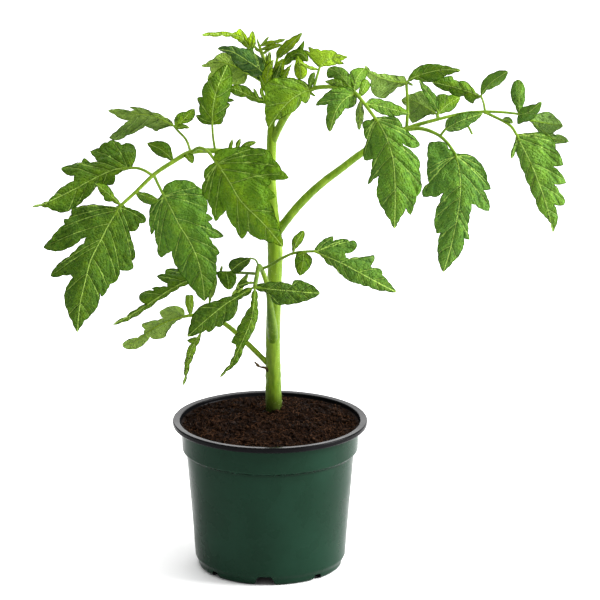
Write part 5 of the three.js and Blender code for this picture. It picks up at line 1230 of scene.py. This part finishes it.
class Look:
    """A procedural material on one shader."""

    def __init__(self, name, **values):
        self.material = bpy.data.materials.new(name)
        self.material.use_nodes = True
        self.tree = self.material.node_tree
        self.shader = self.tree.nodes["Principled BSDF"]
        self.place = self.node("ShaderNodeTexCoord").outputs["Object"]
        for key, value in values.items():
            self.shader.inputs[key.replace("_", " ")].default_value = value

    def node(self, kind, **values):
        n = self.tree.nodes.new(kind)
        for key, value in values.items():
            if key in n.inputs:
                self.link(value, n.inputs[key])
            else:
                setattr(n, key, value)
        return n

    def link(self, value, socket):
        if isinstance(value, bpy.types.NodeSocket):
            self.tree.links.new(value, socket)
        else:
            socket.default_value = value

    def noise(self, scale, detail=4.0, rough=0.55):
        kind = "ShaderNodeTexNoise"
        n = self.node(kind, Vector=self.place, Scale=scale, Detail=detail, Roughness=rough)
        return n.outputs[0]

    def net(self, scale, place):
        """The distance to the nearest line of an uneven net."""
        kind = "ShaderNodeTexVoronoi"
        n = self.node(kind, feature="DISTANCE_TO_EDGE", Vector=place, Scale=scale)
        return n.outputs["Distance"]

    def height(self):
        return self.node("ShaderNodeSeparateXYZ", Vector=self.place).outputs["Z"]

    def measure(self, name):
        return self.node("ShaderNodeAttribute", attribute_name=name).outputs["Fac"]

    def steps(self, value, low, high, to_low=0.0, to_high=1.0, smooth=True):
        """The value's run from low to high, carried over to another run and held at its ends."""
        n = self.node("ShaderNodeMapRange", interpolation_type="SMOOTHSTEP" if smooth else "LINEAR")
        for socket, v in zip(n.inputs[:5], (value, low, high, to_low, to_high)):
            self.link(v, socket)
        return n.outputs[0]

    def math(self, how, a, b=0.0):
        n = self.node("ShaderNodeMath", operation=how)
        self.link(a, n.inputs[0])
        self.link(b, n.inputs[1])
        return n.outputs[0]

    def ramp(self, value, *stops):
        n = self.node("ShaderNodeValToRGB")
        self.link(value, n.inputs[0])
        points = n.color_ramp.elements
        while len(points) < len(stops):
            points.new(0.5)
        for point, (at, colour) in zip(points, stops):
            point.position = at
            point.color = (*colour, 1)
        return n.outputs[0]

    def mix(self, share, a, b, how="MIX"):
        """The colour a with a share of b mixed in."""
        n = self.node("ShaderNodeMix", data_type="RGBA", blend_type=how)
        for socket, v in zip((n.inputs[0], n.inputs[6], n.inputs[7]), (share, a, b)):
            self.link(v if isinstance(v, (bpy.types.NodeSocket, float)) else (*v, 1), socket)
        return n.outputs[2]

    def bump(self, height, depth, strength):
        """Adds relief on top of the relief that is there."""
        n = self.node("ShaderNodeBump", Height=height, Strength=strength, Distance=depth)
        last = self.shader.inputs["Normal"]
        if last.links:
            self.tree.links.new(last.links[0].from_socket, n.inputs["Normal"])
        self.tree.links.new(n.outputs[0], last)

    def colour(self, value):
        self.link(value, self.shader.inputs["Base Color"])

    def rough(self, value):
        self.link(value, self.shader.inputs["Roughness"])


# painted sheen: this bluish colour is added to the leaves to stand in for light they reflect
PAINTED_SHEEN_COLOUR = (0.002, 0.016, 0.02)
NET_WARP = 0.0016  # how far the net of the finest veins is bent, in metres


def warped(look):
    """The place on the object, moved a little by noise."""
    warp = look.node("ShaderNodeTexNoise", Vector=look.place, Scale=260.0, Detail=2.0)
    shrink = look.node("ShaderNodeVectorMath", operation="SCALE")
    look.link(warp.outputs["Color"], shrink.inputs[0])
    shrink.inputs["Scale"].default_value = NET_WARP
    moved = look.node("ShaderNodeVectorMath", operation="ADD")
    look.link(look.place, moved.inputs[0])
    look.link(shrink.outputs[0], moved.inputs[1])
    return moved.outputs[0]


def leaf_look(name, dark, green, lime, vein, under=False):
    """One side of the leaves. It uses the measures of the mesh: gaps to veins and edge, tint, and the
    share of painted sheen.
    """
    look = Look(name, Subsurface_Weight=0.1, Subsurface_Scale=0.0008)
    look.shader.inputs["Subsurface Radius"].default_value = (0.6, 1.0, 0.15)
    rib, side, edge = (look.measure(m) for m in ("rib", "vein", "edge"))
    tint = look.measure("tint")

    # the greens of the tint, paler along the midrib (less so under painted sheen) and darker in clouds,
    # with painted shade in the grooves by the veins
    young = tuple(c * 1.7 for c in lime)
    stage = look.steps(tint, -1.0, 2.0, smooth=False)
    base = look.ramp(stage, (0.0, dark), (0.333, green), (0.667, lime), (1.0, young))
    by_rib = look.steps(rib, 0.0, 8.0, 0.5, 0.0)
    middle = look.math("MULTIPLY", by_rib, look.steps(look.noise(150.0, 3.0), 0.3, 0.6))
    middle = look.math("MULTIPLY", middle, look.steps(tint, -1.0, 0.1, 0.15, 1.0))
    middle = look.math("MULTIPLY", middle, look.steps(look.measure("bloom"), 0.0, 0.6, 1.0, 0.3))
    base = look.mix(middle, base, lime)
    cloud = look.noise(85.0, 5.0)
    base = look.mix(look.steps(cloud, 0.36, 0.62, 0.0, 0.3), base, dark)
    # painted shade: the blade is darkened beside the midrib and side veins, in the grooves that the sunken
    # veins make
    vein_groove_shade = look.steps(look.math("MINIMUM", rib, side), 0.3, 1.5, 0.42, 0.0)
    base = look.mix(vein_groove_shade, base, dark)
    base = look.mix(look.steps(look.noise(300.0, 4.0), 0.45, 0.7, 0.0, 0.15), base, lime)

    # midrib, side veins, fine ridges between them, and two nets of the finest veins
    place = warped(look)
    net, fine = look.net(420.0, place), look.net(1100.0, place)
    in_rib = look.steps(rib, 0.2, 0.45, 0.9, 0.0)
    in_side = look.steps(side, 0.08, 0.34, 0.7, 0.0)
    in_net = look.steps(net, 0.0, 0.08, 0.14, 0.0)
    in_fine = look.steps(fine, 0.0, 0.1, 0.1, 0.0)
    wander = look.math("MULTIPLY", look.noise(330.0, 2.0), 7.0)
    ridges = look.math("SINE", look.math("ADD", look.math("MULTIPLY", side, 3.5), wander))
    in_ridge = look.steps(ridges, 0.4, 1.0, 0.0, 0.07)
    small = look.math("MAXIMUM", in_ridge, look.math("MAXIMUM", in_net, in_fine))
    veins = look.math("MAXIMUM", look.math("MAXIMUM", in_rib, in_side), small)
    # painted sheen: the bluish colour is added in the share that each leaflet has
    base = look.mix(look.measure("bloom"), base, PAINTED_SHEEN_COLOUR, "ADD")
    base = look.mix(veins, base, vein)

    # a darker edge
    by_edge = look.steps(edge, 0.1, 0.8, 1.0, 0.0)
    rim = look.math("MULTIPLY", by_edge, look.steps(cloud, 0.4, 0.55, 0.35, 0.9))
    look.colour(look.mix(rim, base, tuple(c * 0.4 for c in dark)))

    # the underside is duller, and its relief is turned over
    dull = 0.25 * under
    look.rough(look.steps(look.noise(700.0, 3.0), 0.3, 0.7, 0.4 + dull, 0.55 + dull))
    gloss = look.steps(edge, 0.1, 1.4, 0.0, 0.06 if under else 0.07)
    look.link(gloss, look.shader.inputs["Specular IOR Level"])
    sign = -1.0 if under else 1.0
    look.bump(look.steps(net, 0.0, 0.3), 0.0006 * sign, 0.85)
    look.bump(look.steps(side, 0.0, 1.2), 0.0012 * sign, 0.9)
    look.bump(ridges, -0.0002 * sign, 0.7)
    look.bump(look.noise(1500.0, 3.0), 0.00018, 0.6)
    return look.material


def shoot_look():
    """Stem, petioles and stalks: streaked lengthwise, and darker low down."""
    look = Look(
        "shoot_green",
        Subsurface_Weight=0.08,
        Subsurface_Scale=0.001,
        Roughness=0.4,
        Specular_IOR_Level=0.16,
    )
    look.shader.inputs["Subsurface Radius"].default_value = (0.8, 1.0, 0.2)
    tint = look.steps(look.measure("tint"), -1.0, 1.0, smooth=False)
    dark, green, pale = (0.05, 0.11, 0.004), (0.13, 0.23, 0.008), (0.24, 0.38, 0.015)
    base = look.ramp(tint, (0.0, dark), (0.5, green), (1.0, pale))
    stretch = look.node("ShaderNodeMapping", Vector=look.place)
    stretch.inputs["Scale"].default_value = (1.0, 1.0, 0.1)
    streak = look.node("ShaderNodeTexNoise", Vector=stretch.outputs[0], Scale=600.0, Detail=4.0)
    base = look.mix(look.steps(streak.outputs[0], 0.38, 0.66, 0.0, 0.55), base, (0.05, 0.12, 0.004))
    base = look.mix(look.steps(look.noise(160.0), 0.45, 0.7, 0.0, 0.3), base, (0.3, 0.42, 0.04))
    height = look.height()
    low, foot = (0.07, 0.13, 0.003), (0.012, 0.014, 0.002)
    base = look.mix(look.steps(height, 0.13, 0.27, 0.35, 0.0), base, low)
    base = look.mix(look.steps(height, 0.1, 0.12, 0.92, 0.0), base, foot)
    look.colour(base)
    look.bump(streak.outputs[0], 0.00025, 0.7)
    look.bump(look.noise(2500.0, 2.0), 0.00015, 0.6)
    return look.material


def hair_look():
    look = Look("plant_hair", Roughness=0.6, Specular_IOR_Level=0.2)
    mottle = look.steps(look.noise(300.0), 0.3, 0.7)
    look.colour(look.mix(mottle, (0.34, 0.45, 0.13), (0.55, 0.64, 0.3)))
    return look.material


def pot_look(name, low, high, rough, gloss):
    """Smooth plastic between two colours, with painted shade in the crease under the collar's overhang."""
    look = Look(name, Specular_IOR_Level=gloss)
    base = look.mix(look.steps(look.noise(28.0, 3.0), 0.3, 0.75), low, high)
    height = look.height()
    # painted shade: a darker band on the body just under the collar, where its overhang shades it
    into, out_of = look.steps(height, 0.0775, 0.0796), look.steps(height, 0.0804, 0.0812, 1.0, 0.0)
    collar_shade = look.math("MULTIPLY", look.math("MULTIPLY", into, out_of), 0.6)
    look.colour(look.mix(collar_shade, base, tuple(c * 0.3 for c in low)))
    scuff = look.noise(55.0, 4.0, 0.5)
    look.rough(look.steps(scuff, 0.3, 0.7, rough - 0.04, rough + 0.06))
    return look.material


def soil_look(name, dark, mid, light):
    """A dull, grainy look with damp, darker places."""
    look = Look(name, Specular_IOR_Level=0.04, Roughness=0.9)
    base = look.ramp(look.noise(650.0, 8.0, 0.7), (0.3, dark), (0.52, mid), (0.72, light))
    damp = look.noise(60.0, 3.0)
    look.colour(look.mix(look.steps(damp, 0.35, 0.7, 0.0, 0.5), base, dark))
    look.rough(look.steps(damp, 0.35, 0.7, 0.95, 0.7))
    look.bump(look.noise(2600.0, 6.0, 0.7), 0.0006, 0.9)
    return look.material


GREEN = [
    leaf_look(
        "leaf_upper",
        dark=(0.018, 0.058, 0.002),
        green=(0.067, 0.165, 0.002),
        lime=(0.21, 0.335, 0.003),
        vein=(0.31, 0.47, 0.08),
    ),
    leaf_look(
        "leaf_under",
        dark=(0.075, 0.15, 0.03),
        green=(0.15, 0.25, 0.04),
        lime=(0.28, 0.41, 0.06),
        vein=(0.3, 0.44, 0.1),
        under=True,
    ),
    shoot_look(),
    hair_look(),
]
PLASTIC = [
    pot_look("pot_green", (0.0058, 0.0222, 0.012), (0.0078, 0.0295, 0.0168), 0.28, 0.045),
    pot_look("pot_black", (0.003, 0.003, 0.0035), (0.006, 0.006, 0.007), 0.24, 0.036),
]
EARTH = [
    soil_look("soil_peat", (0.0022, 0.0009, 0.0004), (0.0078, 0.0029, 0.0011), (0.023, 0.0102, 0.0044)),
    soil_look("soil_crumb", (0.0028, 0.0011, 0.0005), (0.0135, 0.0053, 0.002), (0.09, 0.042, 0.019)),
    soil_look("soil_fibre", (0.02, 0.009, 0.004), (0.06, 0.026, 0.012), (0.15, 0.08, 0.045)),
]
DRY = soil_look("dried_brown", (0.02, 0.013, 0.006), (0.05, 0.034, 0.013), (0.12, 0.08, 0.03))

# Leaves, from the lowest up

for n, leaf in enumerate((LEAF_LOW, LEAF_FRONT, LEAF_RIGHT, LEAF_LEFT, LEAF_FORWARD, SHOOT_TIP)):
    slot = "young_leaf" if leaf is SHOOT_TIP else "leaf"
    piece = Piece(leaf.name + "_fine", leaf.name, slot, GREEN)
    frond(piece, leaf, 11 + 7 * n)
    piece.make(sharp=60)

# Stem and dried seed leaf

STEM_STEPS = 150
stem = Piece("stem_fine", "stem", "stem", GREEN)
line, radii = spline(seen(STEM_ROUTE), STEM_STEPS), drawn_out(STEM_RADII, STEM_STEPS)
tube(stem, line, radii, sides=36, look=SHOOT, tint=0.45, rough=0.035, hairs=7.0, seed=5)
stem.make()

STUB_STEPS = 24
stub = Piece("dried_seed_leaf_fine", "dried_seed_leaf", "dried_seed_leaf", [DRY])
line, radii = spline(seen(STUB_ROUTE), STUB_STEPS), drawn_out(STUB_RADII, STUB_STEPS)
tube(stub, line, radii, sides=12, look=0, tint=0.0, rough=0.4, hairs=0, seed=8)
stub.make()

# Pot, as profiles of [radius, height] and drain gaps round its foot

RIM, POT_HEIGHT = 65.0, 101.0
LIP_FOOT, LIP_INNER = 96.8, 60.2
COLLAR, COLLAR_FOOT, SHOULDER = 59.2, 79.2, 81.0
BODY_TOP, BODY_FOOT, FOOT, FOOT_HEIGHT = 56.1, 50.3, 48.7, 7.2
WALL, FLOOR = 1.4, 1.6
FIRST_GAP, GAPS = -94, 8
WIDE_GAP, NARROW_GAP = (17.0, 6.5, 18.0), (9.0, 4.0, 9.0)  # width, height and depth
GAP_OUTLINE = [
    (0.5, 0), (0.45, 0.05), (0.41, 0.15), (0.375, 0.3), (0.345, 0.5), (0.315, 0.7), (0.285, 0.86),
    (0.25, 0.96), (0.2, 1),
]
GAP_REACH = BODY_FOOT + 6  # the blocks that cut the gaps end well outside the pot
UNDER_FLOOR = -0.01  # and start just below it
DRAIN_RADIUS, DRAIN_SIDES = 1.6, 20
POT_SIDES = 160
POT_WAVE = 0.1  # how far the wall bulges in and out
CORNER, CORNER_POINTS = 0.7, 4


def rounded(profile, radius):
    """The profile with its corners rounded off."""
    out = [np.array(profile[0], float)]
    for a, b, c in zip(profile[:-2], profile[1:-1], profile[2:]):
        a, b, c = (np.array(p, float) for p in (a, b, c))
        back, on = a - b, c - b
        r = min(radius, 0.4 * np.linalg.norm(back), 0.4 * np.linalg.norm(on))
        back, on = back / np.linalg.norm(back), on / np.linalg.norm(on)
        out.append(b + back * r * 1.2)
        out += list(arc(b + back * r, b, b + on * r, CORNER_POINTS))
        out.append(b + on * r * 1.2)
    out.append(np.array(profile[-1], float))
    return out


def lathe(profile, sides, wave=0.0):
    """Vertices and faces of a profile turned round the Z axis, closed where it reaches the axis.

    wave is how far the wall bulges between the floor and the lip.
    """
    verts, rings = [], []
    for r, z in profile:
        if r < 1e-6:
            rings.append([len(verts)])
            verts.append((0, 0, z))
            continue
        rings.append(list(range(len(verts), len(verts) + sides)))
        for k in range(sides):
            turn = 2 * math.pi * k / sides
            waves = math.sin(3 * turn + 0.7) + 0.7 * math.sin(7 * turn + 2.1)
            bulge = wave * math.sin(math.pi * min(max(z, 0) / LIP_FOOT, 1)) * waves
            verts.append(((r + bulge) * math.cos(turn), (r + bulge) * math.sin(turn), z))
    faces = []
    for low, high in zip(rings, rings[1:]):
        for k in range(sides):
            j = (k + 1) % sides
            if len(low) == 1:
                faces.append((low[0], high[j], high[k]))
            elif len(high) == 1:
                faces.append((low[k], low[j], high[0]))
            else:
                faces.append((low[k], low[j], high[j], high[k]))
    return verts, faces


def simple_mesh(name, verts, faces):
    """An object of a mesh in millimetres."""
    mesh = bpy.data.meshes.new(name)
    mesh.from_pydata([tuple(float(c) * MM for c in v) for v in verts], [], faces)
    mesh.update()
    obj = bpy.data.objects.new(name, mesh)
    bpy.context.collection.objects.link(obj)
    return obj


def at_each_gap(name, ring_of):
    """A prism at each drain gap, with the outline and the two ends that ring_of gives for its size."""
    verts, faces = [], []
    for n in range(GAPS):
        turn = math.radians(FIRST_GAP + n * 360 / GAPS)
        out = np.array([math.cos(turn), math.sin(turn), 0])
        across = np.array([-math.sin(turn), math.cos(turn), 0])
        ring, ends = ring_of(*(NARROW_GAP if n % 2 else WIDE_GAP))
        k, count = len(verts), len(ring)
        for reach, rise in ends:
            up = [np.array([0, 0, p[2] + rise]) for p in ring]
            verts += [out * (p[0] + reach) + across * p[1] + z for p, z in zip(ring, up)]
        faces += [tuple(k + i for i in reversed(range(count))), tuple(k + count + i for i in range(count))]
        for i in range(count):
            j = (i + 1) % count
            faces.append((k + i, k + j, k + count + j, k + count + i))
    return simple_mesh(name, verts, faces)


def gap_blocks(name, grow, low):
    """A block at each drain gap, as broad as the gap grown by a margin, from a height up."""

    def ring_of(width, height, depth):
        half = [(x * width + grow, z * (height + grow)) for x, z in GAP_OUTLINE]
        outline = half + [(-x, z) for x, z in half[::-1]]
        back = FOOT - WALL - depth - grow
        return [(0, x, z + low) for x, z in outline], [(back, 0), (GAP_REACH, 0)]

    return at_each_gap(name, ring_of)


def drains(name):
    """A round hole up through the roof of each drain gap."""
    turns = [2 * math.pi * k / DRAIN_SIDES for k in range(DRAIN_SIDES)]
    ring = [(DRAIN_RADIUS * math.cos(a), DRAIN_RADIUS * math.sin(a), 0) for a in turns]

    def ring_of(width, height, depth):
        middle = FOOT - WALL - depth / 2
        return ring, [(middle, height - 2), (middle, height + 4)]

    return at_each_gap(name, ring_of)


def combine(obj, other, how):
    """The object with another joined to it or cut from it, applied to its mesh."""
    step = obj.modifiers.new(how, "BOOLEAN")
    step.operation, step.object, step.solver = how, other, "EXACT"
    graph = bpy.context.evaluated_depsgraph_get()
    mesh = bpy.data.meshes.new_from_object(obj.evaluated_get(graph))
    obj.modifiers.clear()
    obj.data = mesh
    bpy.data.objects.remove(other)


outside = [
    (FOOT - 3.7, 0), (FOOT - 1.3, 0.5), (FOOT - 0.4, 1.9), (FOOT, FOOT_HEIGHT - 3),
    (BODY_FOOT, FOOT_HEIGHT), (52.8, 40), (BODY_TOP, COLLAR_FOOT), (COLLAR - 0.4, SHOULDER),
    (COLLAR, LIP_FOOT), (RIM - 0.6, LIP_FOOT + 0.6), (RIM, LIP_FOOT + 1.4), (RIM, POT_HEIGHT - 0.6),
    (RIM - 0.5, POT_HEIGHT),
]
inner = [
    (FOOT - WALL - 0.9, FLOOR), (FOOT - WALL, FOOT_HEIGHT - 3), (BODY_FOOT - WALL, FOOT_HEIGHT),
    (BODY_TOP - WALL, COLLAR_FOOT + 0.8), (COLLAR - WALL - 0.4, SHOULDER + 0.8),
    (COLLAR - WALL, LIP_FOOT - 0.6), (LIP_INNER - 0.2, LIP_FOOT + WALL), (LIP_INNER, POT_HEIGHT - 0.7),
    (LIP_INNER + 0.5, POT_HEIGHT - 0.3),
]
shell = rounded([(0, 0)] + outside + inner[::-1] + [(0, FLOOR)], CORNER)
pot = simple_mesh("pot_fine", *lathe(shell, POT_SIDES, POT_WAVE))
core = [(0, 0.0)] + [(r - WALL / 2, z) for r, z in outside] + [(0, POT_HEIGHT)]
roofs = gap_blocks("roofs", WALL, FLOOR / 2)
combine(roofs, simple_mesh("core", *lathe(core, POT_SIDES)), "INTERSECT")
combine(pot, roofs, "UNION")
combine(pot, gap_blocks("pockets", 0.0, UNDER_FLOOR), "DIFFERENCE")
combine(pot, drains("drains"), "DIFFERENCE")
pot.data.materials.clear()
for material in PLASTIC:
    pot.data.materials.append(material)
wall_radii, wall_heights = zip(*outside[:-4])
for face in pot.data.polygons:
    x, y, z = face.center / MM
    in_wall = math.hypot(x, y) < np.interp(z, wall_heights, wall_radii) - 1.0 and z > 0.8
    face.material_index = 1 if z > LIP_FOOT - 0.3 or in_wall else 0
    face.use_smooth = True
pot.data.set_sharp_from_angle(angle=math.radians(32))
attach(pot, "root")
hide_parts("pot")

# Soil: a lumpy top, a body down to the pot's floor, and loose crumbs and fibres

SOIL_EDGE, SOIL_CROWN, SOIL_RADIUS = 98.4, 2.2, 59.3
SOIL_RINGS, SOIL_STEP = 56, 1.15
BODY_SIDES = 96
PEAT, CRUMB, FIBRE = range(3)  # the looks of the soil, in the order of EARTH
CRUMBS, FIBRES = 4200, 520
FIBRE_STEP = 1.3
CRUMB_LOOKS = (PEAT, CRUMB, CRUMB)

draw = random.Random(4)
soil = Piece("soil_fine", "soil", "soil", EARTH)
stem_x, stem_y, _ = seen(STEM_ROUTE[1])[0]

top = []
for n in range(SOIL_RINGS + 1):
    r = SOIL_RADIUS * n / SOIL_RINGS
    sides = max(1, int(2 * math.pi * r / SOIL_STEP))
    for k in range(sides):
        turn = 2 * math.pi * (k + 0.5 * (n % 2)) / sides
        top.append((r * math.cos(turn), r * math.sin(turn), 0.0))
top = np.array(top)
share = np.hypot(top[:, 0], top[:, 1]) / SOIL_RADIUS
rise = 2.0 * np.exp(-np.hypot(top[:, 0] - stem_x, top[:, 1] - stem_y) / 6)
lumps = 0.9 * bumps(top, 9.0, 2) + 0.7 * bumps(top, 3.2, 3) + 0.45 * bumps(top, 1.4, 4)
dome = SOIL_EDGE - 0.5 + SOIL_CROWN * (1 - share**2)
top[:, 2] = dome + (lumps + rise) * np.clip((1 - share) * 12, 0.35, 1)
_, _, triangles, origin, *_ = delaunay_2d_cdt([Vector(p[:2]) for p in top], [], [], 0, 1e-6)
soil.add(top, [tuple(origin[i][0] for i in t) for t in triangles], PEAT)

profile = [(0, FLOOR + 0.4), (FOOT - WALL - 1.5, FLOOR + 0.4)]
profile += [(r - 0.6, z) for r, z in inner[1:-3]]
profile += [(SOIL_RADIUS, 98.1), (SOIL_RADIUS, 98.4), (SOIL_RADIUS - 1.5, 98.2), (50, 93), (0, 93)]
body = simple_mesh("soil_body", *lathe(profile, BODY_SIDES))
combine(body, gap_blocks("soil_pockets", WALL + 0.5, UNDER_FLOOR), "DIFFERENCE")
faces = [tuple(f.vertices) for f in body.data.polygons]
soil.add([v.co / MM for v in body.data.vertices], faces, PEAT)
bpy.data.objects.remove(body)


def soil_height(x, y):
    """The height of the point of the soil's top that is nearest to a place."""
    return top[np.argmin((top[:, 0] - x) ** 2 + (top[:, 1] - y) ** 2), 2]


# a crumb starts as a ball of 20 triangles
GOLD = (1 + 5**0.5) / 2
BALL = np.array([
    (-1, GOLD, 0), (1, GOLD, 0), (-1, -GOLD, 0), (1, -GOLD, 0), (0, -1, GOLD), (0, 1, GOLD),
    (0, -1, -GOLD), (0, 1, -GOLD), (GOLD, 0, -1), (GOLD, 0, 1), (-GOLD, 0, -1), (-GOLD, 0, 1),
]) / 1.9
BALL_FACES = [
    (0, 11, 5), (0, 5, 1), (0, 1, 7), (0, 7, 10), (0, 10, 11), (1, 5, 9), (5, 11, 4), (11, 10, 2),
    (10, 7, 6), (7, 1, 8), (3, 9, 4), (3, 4, 2), (3, 2, 6), (3, 6, 8), (3, 8, 9), (4, 9, 5),
    (2, 4, 11), (6, 2, 10), (8, 6, 7), (9, 8, 1),
]
for _ in range(CRUMBS):
    r = (SOIL_RADIUS - 1.6) * math.sqrt(draw.random())
    turn = draw.uniform(0, 2 * math.pi)
    cos, sin = math.cos(turn), math.sin(turn)
    size = 0.38 + 1.3 * draw.random() ** 5
    r = min(r, SOIL_RADIUS - size - 0.2)
    x, y = r * cos, r * sin
    if draw.random() < 0.05:  # one in twenty lies by the stem
        x = stem_x + draw.uniform(5, 9) * cos
        y = stem_y + draw.uniform(5, 9) * sin
    shape = BALL * [[draw.uniform(0.65, 1.3) for _ in range(3)]]
    shape = shape * (1 + np.array([draw.uniform(-0.22, 0.22) for _ in BALL])[:, None])
    a = draw.uniform(0, 2 * math.pi)
    spin = np.array([[math.cos(a), -math.sin(a), 0], [math.sin(a), math.cos(a), 0], [0, 0, 1]])
    shape = shape @ spin.T * size + [x, y, soil_height(x, y) + 0.25 * size]
    soil.add(shape, BALL_FACES, draw.choice(CRUMB_LOOKS))

for _ in range(FIBRES):
    r = (SOIL_RADIUS - 6) * math.sqrt(draw.random())
    turn = draw.uniform(0, 2 * math.pi)
    x, y, way = r * math.cos(turn), r * math.sin(turn), draw.uniform(0, 2 * math.pi)
    bend, thick = draw.uniform(-0.35, 0.35), draw.uniform(0.07, 0.17)
    line = []
    for _ in range(draw.randint(4, 9)):
        line.append((x, y, soil_height(x, y) + thick + draw.uniform(0.1, 0.9)))
        way += bend + draw.uniform(-0.3, 0.3)
        x, y = x + FIBRE_STEP * math.cos(way), y + FIBRE_STEP * math.sin(way)
        if math.hypot(x, y) > SOIL_RADIUS - 1.5:
            break
    if len(line) < 3:
        continue
    line = np.array(line)
    one, two = frames(line)
    ring = [one * c + two * s for c, s in ((1, 0), (-0.5, 0.87), (-0.5, -0.87))]
    thread = np.stack([line + r * thick for r in ring], 1).reshape(-1, 3)
    sides = []
    for i in range(len(line) - 1):
        for k in range(3):
            a, b = 3 * i + k, 3 * i + (k + 1) % 3
            sides.append((a, b, b + 3, a + 3))
    soil.add(thread, sides, FIBRE)
soil.make(smooth=False)

# Stage, light and camera

FLOOR_HALF = 3000
corners = [(-1, -1), (1, -1), (1, 1), (-1, 1)]
floor = simple_mesh("floor", [(FLOOR_HALF * x, FLOOR_HALF * y, 0) for x, y in corners], [(0, 1, 2, 3)])
paper = Look("floor_paper", Roughness=0.9)
mottle = paper.steps(paper.noise(4.0), 0.3, 0.7)
paper.colour(paper.mix(mottle, (0.91, 0.91, 0.91), (0.93, 0.93, 0.93)))
floor.data.materials.append(paper.material)

world = bpy.data.worlds.new("studio")
bpy.context.scene.world = world
world.use_nodes = True
world.node_tree.nodes["Background"].inputs["Color"].default_value = (1.0, 1.0, 1.0, 1)
world.node_tree.nodes["Background"].inputs["Strength"].default_value = 0.42


def soft_light(name, place, aim, size, power):
    """A broad light at a place in metres that shines towards another."""
    light = bpy.data.lights.new(name, "AREA")
    light.shape = "RECTANGLE"
    light.size, light.size_y = size
    light.energy = power
    obj = bpy.data.objects.new(name, light)
    obj.location = place
    obj.rotation_euler = (Vector(aim) - Vector(place)).to_track_quat("-Z", "Y").to_euler()
    bpy.context.collection.objects.link(obj)


soft_light("top", (0.2, 0.2, 2.2), (0, 0.2, 0), (3.4, 3.4), 85)
soft_light("right", (1.5, -0.15, 0.85), (0, 0, 0.15), (0.9, 1.0), 64)
soft_light("back", (0.35, 3.2, 1.3), (0, 0, 0.1), (3.8, 1.8), 74)

SENSOR = 36
VIEW_WIDTH = 400  # how many millimetres of the layout the picture shows
camera = bpy.data.cameras.new("camera")
camera.sensor_width = SENSOR
camera.lens = SENSOR * SIGHT / VIEW_WIDTH
camera.clip_end = 20
view = bpy.data.objects.new("camera", camera)
view.location = tuple(EYE * MM)
view.rotation_euler = (math.pi / 2 - LOOK_DOWN, 0, 0)
bpy.context.collection.objects.link(view)
bpy.context.scene.camera = view
bpy.context.scene.view_settings.view_transform = "Standard"
